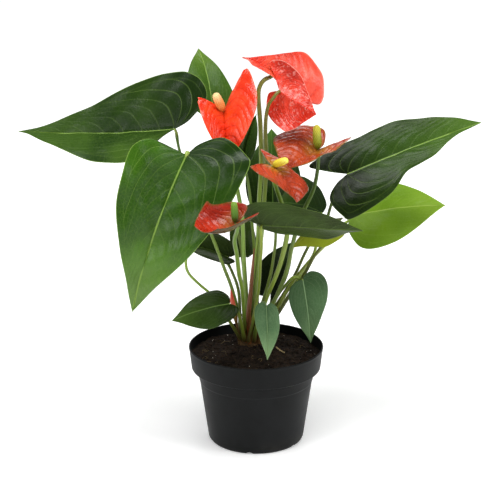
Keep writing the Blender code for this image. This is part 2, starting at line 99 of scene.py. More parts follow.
# A blade hangs on four points (mm): where its stalk joins, its tip, and the
# widest point of the left and of the right margin, left being on the left hand
# of someone looking from the joint to the tip with the upper face up.
#   lobe   how far each basal lobe reaches back past the joint
#   lift   degrees by which the lobes turn up
#   arch   rise of the midrib, sway its sideways bow
#   curl   bulge of each half, gape the opening of the sinus, slim the taper
#   neck   half width of the lobe's inner edge, where it isn't the usual curve
LEAVES = {
    "leaf_01": dict(joint=(-81, -8, 332), tip=(-241, 25, 323), left=(-130, -42, 308),
                    right=(-79, 34, 382), lobe=(-12, 36), lift=(0, 10), arch=-5,
                    curl=(4, 4), slim=(0, 0.38), gape=(0.4, 0.45)),
    "leaf_02": dict(joint=(-67, -62, 318), tip=(-120, -92, 170), left=(-7, -80, 312),
                    right=(-121, -85, 316), lobe=(30, -4), lift=(10, 0), arch=12, sway=-5,
                    slim=(-0.1, 0.15), gape=(0.45, 0.74), neck=(None, 0.45)),
    "leaf_03": dict(joint=(93, 15, 281), tip=(232, 50, 327), left=(125, 45, 321),
                    right=(98, -15, 243), lobe=(36, 30), lift=(30, 10), arch=4,
                    curl=(2, 5), slim=(-0.1, 0.42), gape=(0.6, 0.45)),
    "leaf_04": dict(joint=(103, 60, 225), tip=(202, 75, 232), left=(131, 85, 251),
                    right=(121, 30, 196), lobe=(10, 9)),
    "leaf_05": dict(joint=(-45, 62, 343), tip=(-61, 112, 394), left=(-71, 66, 356),
                    right=(-20, 66, 341), lobe=(14, 8), slim=(0, 0.1)),
    "leaf_06": dict(joint=(-14, 55, 286), tip=(1, 90, 328), left=(-20, 58, 298),
                    right=(0, 50, 298), lobe=(8, 6)),
    "leaf_07": dict(joint=(18, 75, 233), tip=(17, 125, 305), left=(-11, 80, 252),
                    right=(48, 80, 254), lobe=(12, 12)),
    "leaf_08": dict(joint=(69, 48, 231), tip=(23, 34, 246), left=(49, 30, 224),
                    right=(50, 70, 261), lobe=(6, 6), slim=(0, -0.2)),
    "leaf_09": dict(joint=(5, -48, 245), tip=(103, -70, 245), left=(67, -28, 225),
                    right=(11, -72, 274), lobe=(8, 20), arch=0, slim=(0, 0.05)),
    "leaf_10": dict(joint=(83, 0, 235), tip=(37, -12, 211), left=(77, -17, 212),
                    right=(63, 8, 225), lobe=(6, 8)),
    "leaf_11": dict(joint=(-27, -38, 160), tip=(-84, -55, 148), left=(-44, -52, 137),
                    right=(-43, -24, 168), lobe=(8, 3)),
    "leaf_12": dict(joint=(10, -40, 157), tip=(11, -62, 109), left=(23, -46, 145),
                    right=(-2, -46, 152), lobe=(4, 5), arch=4),
    "leaf_13": dict(joint=(48, 3, 172), tip=(57, 0, 104), left=(73, 7, 167),
                    right=(33, -3, 154), lobe=(8, 0), arch=4, slim=(0.22, 0)),
    "leaf_14": dict(joint=(17, 50, 145), tip=(40, 78, 191), left=(0, 55, 166),
                    right=(32, 55, 155), lobe=(10, 10)),
    "leaf_15": dict(joint=(-30, 45, 184), tip=(-97, 62, 194), left=(-45, 22, 185),
                    right=(-50, 60, 205), lobe=(10, 8)),
    "leaf_16": dict(joint=(-14, 62, 186), tip=(-18, 95, 224), left=(-28, 62, 200),
                    right=(0, 60, 198), lobe=(8, 9)),
}
SPATHES = {
    "spathe_1": dict(joint=(-32, -22, 352), tip=(-28, -45, 306), left=(1, -34, 366),
                     right=(-56, -34, 360), lobe=(41, 13), lift=(10, 20), arch=6,
                     gape=(0.77, 0.97), neck=(0.50, 0.52)),
    "spathe_2": dict(joint=(16, 16, 381), tip=(-14, 12, 400), left=(6, 6, 386),
                     right=(53, 38, 404), lobe=(16, 60), lift=(0, 15), arch=3,
                     gape=(0.4, 0.2), slim=(-0.8, 0.45), curl=(2, 4)),
    "spathe_3": dict(joint=(23, -2, 368), tip=(58, -30, 351), left=(24, -20, 334),
                     right=(32, 6, 395), lobe=(10, 26), arch=4, gape=(0.3, 0.68),
                     slim=(0.3, 0.3), curl=(3, 5)),
    "spathe_4": dict(joint=(61, -14, 312), tip=(26, -38, 296), left=(60, -38, 308),
                     right=(22, 8, 322), lobe=(37, 22), arch=2, curl=(0, 6)),
    "spathe_5": dict(joint=(15, -58, 306), tip=(38, -80, 276), left=(42, -54, 288),
                     right=(-5, -80, 311), lobe=(27, 4), arch=5, slim=(-0.85, -0.3),
                     gape=(0.5, 0.6)),
    "spathe_6": dict(joint=(-20, -115, 265), tip=(-57, -126, 266), left=(-37, -138, 272),
                     right=(-45, -107, 287), lobe=(25, 18), arch=-6, curl=(-4, -5),
                     slim=(0, -0.7)),
}

# Stem routes (mm), from the top down; each runs on to its foot on the crown,
# given as (ring, bearing in degrees).
STEMS = {
    "petiole_01": ("leaf_01", (1, 180), [(-76, -5, 308), (-64, 5, 267), (-46, 10, 219),
                                         (-33, 12, 182), (-24, 14, 155)]),
    "petiole_02": ("leaf_02", (2, 208), [(-65, -47, 290), (-66, -34, 251), (-69, -24, 212),
                                         (-71, -19, 196), (-68, -15, 184), (-58, -9, 171),
                                         (-43, -2, 153)]),
    "petiole_03": ("leaf_03", (2, 345), [(81, 13, 261), (74, 17, 238), (69, 18, 208),
                                         (59, 15, 192), (50, 16, 174), (36, 17, 152)]),
    "petiole_04": ("leaf_04", (2, 33), [(84, 50, 214), (66, 44, 203), (60, 40, 187),
                                        (46, 35, 166), (32, 29, 142)]),
    "petiole_05": ("leaf_05", (1, 120), [(-42, 56, 307), (-33, 46, 272), (-23, 36, 232),
                                         (-14, 28, 186)]),
    "petiole_06": ("leaf_06", (2, 100), [(-7, 50, 255), (-4, 42, 220), (-2, 32, 182)]),
    "petiole_07": ("leaf_07", (1, 80), [(21, 62, 206), (19, 48, 185), (13, 34, 158)]),
    "petiole_08": ("leaf_08", (1, 40), [(63, 44, 213), (50, 36, 188), (41, 31, 169),
                                        (27, 26, 146)]),
    "petiole_09": ("leaf_09", (2, 258), [(5, -34, 220), (4, -22, 199), (2, -4, 161)]),
    "petiole_10": ("leaf_10", (2, 10), [(76, 16, 211), (53, 23, 183), (34, 22, 156)]),
    "petiole_11": ("leaf_11", (2, 235), [(-22, -24, 152), (-17, -10, 137)]),
    "petiole_12": ("leaf_12", (2, 282), [(8, -26, 157), (4, -12, 147)]),
    "petiole_13": ("leaf_13", (1, 0), [(39, 6, 174), (31, 11, 164), (21, 15, 148)]),
    "petiole_14": ("leaf_14", (2, 60), [(17, 57, 132), (12, 40, 121)]),
    "petiole_15": ("leaf_15", (2, 165), [(-25, 38, 169), (-18, 29, 148)]),
    "petiole_16": ("leaf_16", (2, 135), [(-12, 48, 166), (-10, 34, 146)]),
    "peduncle_1": ("spathe_1", (0, 210), [(-29, -8, 321), (-23, 0, 287), (-17, 4, 257),
                                          (-14, 6, 233), (-13, 9, 202), (-11, 12, 165)]),
    "peduncle_2": ("spathe_2", (0, 90), [(10, 12, 379), (5, 9, 375), (2, 7, 364), (4, 6, 333),
                                         (5, 6, 292), (3, 7, 256), (2, 9, 221),
                                         (-1, 12, 182), (-4, 15, 153)]),
    "peduncle_3": ("spathe_3", (0, 330), [(17, -10, 364), (11, -9, 353), (9, -6, 331),
                                          (10, -3, 295), (8, 0, 258), (6, 4, 223),
                                          (2, 9, 183), (-1, 13, 153)]),
    "peduncle_4": ("spathe_4", (1, 320), [(61, -10, 291), (57, -8, 270), (47, -5, 246),
                                          (41, -2, 227), (36, 1, 206), (32, 4, 184),
                                          (24, 9, 159)]),
    "peduncle_5": ("spathe_5", (1, 285), [(18, -50, 286), (26, -30, 257), (31, -16, 230),
                                          (27, -10, 203), (20, -4, 178), (11, 5, 152)]),
    "peduncle_6": ("spathe_6", (1, 215), [(-21, -95, 243), (-19, -68, 220), (-17, -40, 191),
                                          (-14, -17, 166)]),
}

# Spadix of each flower: pointing (mm towards its end), length and radius in mm.
SPADICES = {
    "spadix_1": ("spathe_1", (-8, -12, 20), 23.0, 4.2),
    "spadix_2": ("spathe_2", (12, -5, 6), 13.0, 2.7),
    "spadix_3": ("spathe_3", (7, 16, -8), 20.0, 3.4),
    "spadix_4": ("spathe_4", (-2, -4, 24), 25.0, 4.0),
    "spadix_5": ("spathe_5", (15, -12, 9), 19.0, 3.6),
    "spadix_6": ("spathe_6", (-1, 4, 19), 19.0, 3.2),
}


# ================================================================ mesh tools
def catmull(points, n):
    """n points on a smooth curve through the given points."""
    P = np.asarray(points, float)
    P = np.vstack([2 * P[0] - P[1], P, 2 * P[-1] - P[-2]])
    m = len(P) - 3
    out = np.zeros((n, P.shape[1]))
    for j, t in enumerate(np.linspace(0, m, n)):
        i = min(int(t), m - 1)
        f = t - i
        a, b, c, d = P[i], P[i + 1], P[i + 2], P[i + 3]
        out[j] = 0.5 * (2 * b + (c - a) * f + (2 * a - 5 * b + 4 * c - d) * f * f
                        + (3 * b - a - 3 * c + d) * f ** 3)
    return out


def even(points, n):
    """n points evenly spaced along a smooth curve through the given points."""
    fine = catmull(points, 40 * len(points))
    s = np.r_[0, np.cumsum(np.linalg.norm(np.diff(fine, axis=0), axis=1))]
    t = np.linspace(0, s[-1], n)
    return np.stack([np.interp(t, s, fine[:, k]) for k in range(3)], -1)


def unit(v):
    return v / np.linalg.norm(v)


def ramp01(x, a, b):
    t = np.clip((x - a) / (b - a), 0, 1)
    return t * t * (3 - 2 * t)


def mesh_piece(name, verts, faces, mats, face_mat=None, corner=None, sharp=None):
    """A smooth mesh piece from vertices in millimetres. corner maps an attribute
    name to one three-number value for each face corner."""
    me = bpy.data.meshes.new(name)
    me.from_pydata((np.asarray(verts) * MM).tolist(), [], [list(map(int, f)) for f in faces])
    for m in mats:
        me.materials.append(m)
    if face_mat is not None:
        me.polygons.foreach_set("material_index", np.asarray(face_mat, np.int32))
    for key, values in (corner or {}).items():
        a = me.attributes.new(key, 'FLOAT_VECTOR', 'CORNER')
        a.data.foreach_set("vector", np.asarray(values, np.float32).ravel())
    me.validate()
    me.shade_smooth()
    if sharp:
        me.set_sharp_from_angle(angle=radians(sharp))
    o = bpy.data.objects.new(name, me)
    scene.collection.objects.link(o)
    return o


def finish_piece(o, slot, *nodes):
    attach(o, "root")
    if nodes:
        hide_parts(*nodes)
    return o


def vertex_normals(V, F):
    n = np.zeros_like(V)
    for f in F:
        p = V[list(f)]
        c = np.zeros(3)
        for i in range(1, len(f) - 1):
            c += np.cross(p[i] - p[0], p[i + 1] - p[0])
        for i in f:
            n[i] += c
    return n / np.maximum(np.linalg.norm(n, axis=1), 1e-12)[:, None]


def tube(P, R, sides, wobble=None):
    """A closed round tube of centre points P and radii R, with domed ends.
    Returns vertices, faces and per-corner (along, around, 0)."""
    P, R = np.asarray(P, float), np.asarray(R, float)
    t = np.gradient(P, axis=0)
    t /= np.linalg.norm(t, axis=1)[:, None]
    ref = np.array([0.0, 1.0, 0.0]) if abs(t[0][1]) < 0.8 else np.array([1.0, 0.0, 0.0])
    a = unit(np.cross(t[0], ref))
    frames = []
    for i in range(len(P)):
        a = unit(a - (a @ t[i]) * t[i])
        frames.append((a, np.cross(t[i], a)))
    rings, along = [], []
    n = len(P)
    for deg in (70, 35):                                  # foot dome
        rings.append((P[0] - t[0] * R[0] * 0.7 * sin(radians(deg)), R[0] * cos(radians(deg)), 0))
        along.append(0.0)
    for i in range(n):
        rings.append((P[i], R[i], i))
        along.append(i / (n - 1))
    for deg in (35, 70):
        rings.append((P[-1] + t[-1] * R[-1] * 0.7 * sin(radians(deg)), R[-1] * cos(radians(deg)), n - 1))
        along.append(1.0)
    V = []
    for j, (c, r, i) in enumerate(rings):
        for k in range(sides):
            q = 2 * pi * k / sides
            rr = r * (1 + (wobble(along[j], q) if wobble else 0))
            V.append(c + rr * (cos(q) * frames[i][0] + sin(q) * frames[i][1]))
    F, C = [], []
    m = len(rings)
    for j in range(m - 1):
        for k in range(sides):
            k2 = (k + 1) % sides
            F.append((j * sides + k, j * sides + k2, (j + 1) * sides + k2, (j + 1) * sides + k))
            C += [(along[j], k / sides, 0), (along[j], (k + 1) / sides, 0),
                  (along[j + 1], (k + 1) / sides, 0), (along[j + 1], k / sides, 0)]
    V.append(P[0] - t[0] * R[0] * 0.7)
    V.append(P[-1] + t[-1] * R[-1] * 0.7)
    for k in range(sides):
        k2 = (k + 1) % sides
        F.append((len(V) - 2, k2, k))
        C += [(0, 0.5, 0), (0, (k + 1) / sides, 0), (0, k / sides, 0)]
        F.append((len(V) - 1, (m - 1) * sides + k, (m - 1) * sides + k2))
        C += [(1, 0.5, 0), (1, k / sides, 0), (1, (k + 1) / sides, 0)]
    return np.array(V), F, C


# ================================================================ shader tools
class Tree:
    """Short names for building one material's node tree."""

    def __init__(self, name):
        self.m = bpy.data.materials.new(name)
        self.m.use_nodes = True
        self.nt = self.m.node_tree
        self.p = self.nt.nodes["Principled BSDF"]
        self.x = -300

    def new(self, kind, **values):
        n = self.nt.nodes.new(kind)
        self.x -= 40
        n.location = (self.x, 0)
        for k, v in values.items():
            setattr(n, k, v)
        return n

    def put(self, socket, value):
        if hasattr(value, "is_output") or hasattr(value, "is_linked"):
            self.nt.links.new(value, socket)
        else:
            socket.default_value = value

    def math(self, op, a, b=0.0, c=0.0):
        n = self.new("ShaderNodeMath", operation=op)
        for i, v in enumerate((a, b, c)):
            self.put(n.inputs[i], v)
        return n.outputs[0]

    def step(self, x, lo, hi, a=0.0, b=1.0):
        n = self.new("ShaderNodeMapRange", interpolation_type='SMOOTHSTEP')
        for i, v in enumerate((x, lo, hi, a, b)):
            self.put(n.inputs[i], v)
        return n.outputs[0]

    def mix(self, f, a, b, mode='MIX'):
        n = self.new("ShaderNodeMix", data_type='RGBA', blend_type=mode)
        self.put(n.inputs[0], f)
        self.put(n.inputs[6], (*a, 1) if isinstance(a, tuple) and len(a) == 3 else a)
        self.put(n.inputs[7], (*b, 1) if isinstance(b, tuple) and len(b) == 3 else b)
        return n.outputs[2]

    def attr(self, name):
        n = self.new("ShaderNodeAttribute", attribute_name=name)
        s = self.new("ShaderNodeSeparateXYZ")
        self.nt.links.new(n.outputs["Vector"], s.inputs[0])
        return n.outputs["Vector"], s.outputs[0], s.outputs[1], s.outputs[2]

    def place(self):
        return self.new("ShaderNodeTexCoord").outputs["Object"]

    def scale(self, vector, k):
        n = self.new("ShaderNodeVectorMath", operation='MULTIPLY')
        self.put(n.inputs[0], vector)
        n.inputs[1].default_value = k if isinstance(k, tuple) else (k, k, k)
        return n.outputs[0]

    def noise(self, vector, scale, detail=3.0, rough=0.5, distortion=0.0):
        n = self.new("ShaderNodeTexNoise")
        self.put(n.inputs["Vector"], vector)
        n.inputs["Scale"].default_value = scale
        n.inputs["Detail"].default_value = detail
        n.inputs["Roughness"].default_value = rough
        n.inputs["Distortion"].default_value = distortion
        return n.outputs["Fac"]

    def cells(self, vector, scale, feature='DISTANCE_TO_EDGE'):
        n = self.new("ShaderNodeTexVoronoi", feature=feature)
        self.put(n.inputs["Vector"], vector)
        n.inputs["Scale"].default_value = scale
        return n.outputs["Distance"]

    def bump(self, height, strength, distance, normal=None):
        n = self.new("ShaderNodeBump")
        n.inputs["Strength"].default_value = strength
        n.inputs["Distance"].default_value = distance
        self.put(n.inputs["Height"], height)
        if normal is not None:
            self.put(n.inputs["Normal"], normal)
        return n.outputs[0]

    def done(self, colour, rough=0.5, normal=None, specular=0.5, coat=0.0, coat_rough=0.1, sheen=0.0):
        self.put(self.p.inputs["Base Color"], colour)
        self.put(self.p.inputs["Roughness"], rough)
        self.p.inputs["Specular IOR Level"].default_value = specular
        self.p.inputs["Coat Weight"].default_value = coat
        self.p.inputs["Coat Roughness"].default_value = coat_rough
        self.p.inputs["Sheen Weight"].default_value = sheen
        if normal is not None:
            self.put(self.p.inputs["Normal"], normal)
        return self.m


def veins(t, v, k, y, half_width, lateral=(0.022, 0.060)):
    """Masks of the midrib, the side veins and the vein along the margin."""
    # v counts side veins, k runs from the midrib (0) to the margin (1), y is mm
    d = t.math('ABSOLUTE', t.math('SUBTRACT', t.math('FRACT', t.math('ADD', v, 0.5)), 0.5))
    side = t.step(d, lateral[0], lateral[1], 1.0, 0.0)
    side = t.math('MULTIPLY', side, t.step(k, 0.93, 0.80))
    rib = t.step(t.math('ABSOLUTE', y), half_width * 0.5, half_width * 1.25, 1.0, 0.0)
    edge = t.step(t.math('ABSOLUTE', t.math('SUBTRACT', k, 0.87)), 0.004, 0.012, 1.0, 0.0)
    return rib, side, edge


def leaf_material(name, dark, light, tip, vein, rough=0.29, rib=0.9, mottle=0.5,
                  lobes=(0.6, 0.6), halves=(0.0, 0.0), shine=0.11):
    """Upper face of a leaf: dark between the veins, paler veins, a tip painted paler as sheen, and lobes and halves
    darkened with painted shade.
    """
    t = Tree(name)
    _, v, k, r = t.attr("vein")
    flat, x, y, length = t.attr("flat")
    place = t.place()
    ribm, side, edge = veins(t, v, k, y, rib)
    broad = t.noise(place, 17, 2, 0.5)
    fine = t.noise(flat, 0.55, 4, 0.6)
    base = t.mix(t.step(broad, 0.34, 0.68), dark, light)
    # painted sheen: the leaf turns paler towards its tip, standing in for gloss reflection
    base = t.mix(t.math('MULTIPLY', t.step(r, 0.58, 1.0), 0.9), base, tip)
    net = t.cells(flat, 0.30)
    base = t.mix(t.step(net, 0.0, 0.10, 0.09, 0.0), base, vein)
    base = t.mix(t.math('MULTIPLY', t.step(fine, 0.45, 0.75), 0.10 * mottle), base, light)
    # painted shade: the lobes by the sinus and each half fall towards a deep green by the amounts given
    deep = tuple(c * 0.42 for c in dark)
    base = t.mix(t.math('MULTIPLY', t.step(y, -2.5, 2.5, halves[1], halves[0]), t.step(r, 0.95, 0.6)), base, deep)
    base = t.mix(t.math('MULTIPLY', t.step(y, -3.0, 3.0, lobes[1], lobes[0]), t.step(r, 0.62, 0.28)), base, deep)
    basal = t.step(v, 3.4, 2.6, 0.08, 0.18)
    base = t.mix(t.math('MULTIPLY', side, basal), base, vein)
    base = t.mix(t.math('MULTIPLY', edge, 0.08), base, vein)
    base = t.mix(t.math('MULTIPLY', ribm, 0.85), base, vein)
    base = t.mix(t.step(k, 0.982, 0.997, 0.0, 0.7), base, vein)
    h = t.math('ADD', t.math('MULTIPLY', t.step(net, 0.0, 0.16), 0.4), t.math('MULTIPLY', fine, 0.6))
    h = t.math('SUBTRACT', h, t.math('MULTIPLY', side, 0.9))
    n = t.bump(h, 0.30, 0.0004)
    gloss = t.step(t.noise(place, 60, 3, 0.6), 0.3, 0.75, rough - 0.04, rough + 0.08)
    return t.done(base, gloss, n, shine)


def under_material(name, dark, light, vein, rough=0.5, rib=1.1):
    """Underside of a leaf: duller and paler, with raised veins."""
    t = Tree(name)
    _, v, k, r = t.attr("vein")
    flat, x, y, length = t.attr("flat")
    ribm, side, edge = veins(t, v, k, y, rib, (0.028, 0.075))
    base = t.mix(t.step(t.noise(t.place(), 26, 4, 0.6), 0.35, 0.68), dark, light)
    net = t.cells(flat, 0.34)
    base = t.mix(t.step(net, 0.0, 0.12, 0.18, 0.0), base, vein)
    base = t.mix(t.math('MULTIPLY', side, 0.30), base, vein)
    base = t.mix(t.math('MULTIPLY', edge, 0.4), base, vein)
    base = t.mix(t.math('MULTIPLY', ribm, 0.85), base, vein)
    base = t.mix(t.step(k, 0.97, 0.995, 0.0, 0.6), base, vein)
    h = t.math('ADD', t.math('MULTIPLY', side, 1.0), t.step(net, 0.16, 0.0, 0.0, 0.5))
    return t.done(base, rough, t.bump(h, 0.4, 0.0005), 0.14)


def spathe_material(name, deep, bright, edge_colour, throat, rough=0.26, edge_width=0.0, coat=0.26, painted_highlight=0.0):
    """Waxy face of a spathe: deep in the vein furrows, bright between them, with pale pink streaks painted on as
    highlights where asked for.
    """
    t = Tree(name)
    _, v, k, r = t.attr("vein")
    flat, x, y, length = t.attr("flat")
    place = t.place()
    ribm, side, edge = veins(t, v, k, y, 0.7, (0.03, 0.16))
    base = t.mix(t.step(t.noise(place, 45, 4, 0.6), 0.34, 0.68), deep, bright)
    far = t.math('SQRT', t.math('ADD', t.math('MULTIPLY', x, x), t.math('MULTIPLY', y, y)))
    base = t.mix(t.step(far, 4.0, 20.0, 0.75, 0.0), base, throat)
    base = t.mix(t.math('MULTIPLY', side, 0.5), base, deep)
    base = t.mix(t.math('MULTIPLY', ribm, 0.35), base, deep)
    if painted_highlight > 0:
        # painted highlight: pale pink streaks that stand in for glints on the puckers
        highlight_streak = t.noise(flat, 0.17, 4, 0.5, 1.6)
        base = t.mix(t.step(highlight_streak, 0.54, 0.68, 0.0, painted_highlight), base, (0.95, 0.52, 0.44))
    if edge_width > 0:
        ragged = t.math('ADD', k, t.math('MULTIPLY', t.math('SUBTRACT', t.noise(flat, 0.16, 4), 0.5), 0.5))
        base = t.mix(t.step(ragged, 1 - edge_width, 1.0, 0.0, 0.92), base, edge_colour)
    else:
        base = t.mix(t.step(k, 0.965, 0.99, 0.0, 0.6), base, edge_colour)
    pucker = t.noise(flat, 0.23, 3, 0.55, 0.6)
    h = t.math('ADD', pucker, t.math('MULTIPLY', t.noise(flat, 0.9, 3, 0.5), 0.18))
    h = t.math('SUBTRACT', h, t.math('MULTIPLY', side, 0.35))
    gloss = t.step(t.noise(place, 80, 3, 0.6), 0.3, 0.75, rough - 0.04, rough + 0.08)
    return t.done(base, gloss, t.bump(h, 0.6, 0.0014), 0.22, coat, 0.16)


def stem_material(name, low, high, knob=None, speckle=0.22):
    t = Tree(name)
    uv, along, around, _ = t.attr("stem")
    streak = t.noise(t.scale(uv, (6, 22, 1)), 1.0, 4, 0.6)
    base = t.mix(t.step(along, 0.45, 0.95), low, high)
    dark = tuple(c * 0.5 for c in low)
    base = t.mix(t.math('MULTIPLY', t.step(streak, 0.42, 0.72), speckle), base, dark)
    # darker and browner towards the foot: the stem bases' own brown, and painted shade among the crowded stems at the
    # crown
    base = t.mix(t.step(along, 0.20, 0.0, 0.0, 0.85), base, (0.070, 0.034, 0.012))
    if knob:
        base = t.mix(t.step(along, 0.955, 0.985, 0.0, 0.85), base, knob)
    n = t.bump(streak, 0.35, 0.0005)
    return t.done(base, t.step(streak, 0.3, 0.8, 0.34, 0.5), n, 0.4)


def spadix_material(name, low, mid, high):
    t = Tree(name)
    uv, along, around, pit = t.attr("stem")
    base = t.mix(t.step(along, 0.02, 0.5), low, mid)
    base = t.mix(t.step(along, 0.48, 0.98), base, high)
    # painted shade in the hollows between the florets, and a painted highlight on their crowns
    base = t.mix(t.step(pit, 0.45, 0.05, 0.0, 0.42), base, tuple(c * 0.42 for c in low))
    base = t.mix(t.step(pit, 0.72, 1.0, 0.0, 0.25), base, tuple(min(1, c * 1.3 + 0.05) for c in high))
    n = t.bump(t.noise(t.place(), 900, 3, 0.6), 0.25, 0.0003)
    return t.done(base, 0.46, n, 0.4)


# ================================================================ blades
def half_outline(length, width, lobe, wide_at, gape, slim, n, start=0.0, neck=None):
    """Flat margin of one half of the heart, from the sinus round the lobe to the
    tip: x runs along the midrib from the joint, y away from it."""
    r = length - wide_at
    inner = (0.22 + 1.6 * max(gape - 0.4, 0)) * gape if neck is None else neck
    pts = [(0, 0), (-0.52 * lobe, inner * width), (-lobe, gape * width),
           (wide_at - 0.66 * (wide_at + lobe), (0.74 + 0.24 * gape) * width),
           (wide_at, width),
           (wide_at + 0.29 * r, (0.91 - 0.22 * slim) * width),
           (wide_at + 0.57 * r, (0.62 - 0.55 * slim) * width),
           (wide_at + 0.83 * r, (0.23 - 0.30 * slim) * width), (length, 0)]
    full = catmull(pts, 641)[int(round(start * 640)):]
    seg = np.r_[0, np.cumsum(np.hypot(*np.diff(full, axis=0).T))]
    s = np.linspace(0, seg[-1], n)
    return np.stack([np.interp(s, seg, full[:, 0]), np.interp(s, seg, full[:, 1])], -1)


SPINE = 129


class Blade:
    """A heart-shaped blade hung on its joint, its tip and its two widest points."""

    def __init__(self, joint, tip, left, right, lobe=(12, 12), lift=(10, 10), arch=6.0,
                 sway=0.0, curl=(2.0, 2.0), gape=(0.4, 0.4), slim=(0.0, 0.0), neck=(None, None)):
        J, T = np.array(joint, float), np.array(tip, float)
        self.J, self.L = J, float(np.linalg.norm(T - J))
        self.lobe, self.lift, self.curl = lobe, [radians(a) for a in lift], curl
        self.gape, self.slim, self.neck = gape, slim, neck
        c = unit(T - J)
        d, self.W, self.wide = [], [], []
        for S in (left, right):
            v = np.array(S, float) - J
            a = float(v @ c)
            w = v - a * c
            self.W.append(float(np.linalg.norm(w)))
            self.wide.append(min(max(a, -0.6 * self.L), 0.5 * self.L))
            d.append(unit(w))
        side = unit(d[0] - d[1])
        side = unit(side - (side @ c) * c)
        up = np.cross(c, side)
        self.fold = [np.arctan2(d[0] @ up, d[0] @ side), np.arctan2(d[1] @ up, -(d[1] @ side))]
        s = np.linspace(0, 1, SPINE)
        bow = 4 * s * (1 - s)
        self.pos = J + np.outer(s * self.L, c) + np.outer(bow * arch, up) + np.outer(bow * sway, side)
        t = np.gradient(self.pos, axis=0)
        t /= np.linalg.norm(t, axis=1)[:, None]
        lat = side - (t @ side)[:, None] * t
        lat /= np.linalg.norm(lat, axis=1)[:, None]
        self.t, self.lat, self.nrm = t, lat, np.cross(t, lat)

    def place(self, h, x, y):
        """Points of half h (0 left, 1 right) at flat coordinates x, y."""
        f = np.clip(x, 0, self.L) / self.L * (SPINE - 1)
        i = np.clip(f.astype(int), 0, SPINE - 2)
        f = (f - i)[..., None]
        P = self.pos[i] * (1 - f) + self.pos[i + 1] * f
        t = self.t[i] * (1 - f) + self.t[i + 1] * f
        l = self.lat[i] * (1 - f) + self.lat[i + 1] * f
        n = self.nrm[i] * (1 - f) + self.nrm[i + 1] * f
        back = -np.minimum(x, 0)
        k = max(self.lift[h], 1e-4) / max(self.lobe[h], 2.0)
        P = P - t * (np.sin(k * back) / k)[..., None] + n * ((1 - np.cos(k * back)) / k)[..., None]
        a = (k * back)[..., None]
        n = n * np.cos(a) + t * np.sin(a)
        g = self.fold[h]
        q = y / self.W[h]
        out = l * (1 if h == 0 else -1)
        P = P + out * (y * cos(g))[..., None] + n * (y * sin(g))[..., None]
        return P + (n * cos(g) - out * sin(g)) * (self.curl[h] * 4 * q * (1 - q))[..., None]


FAN = 0.36                    # share of the rows that fan round the joint


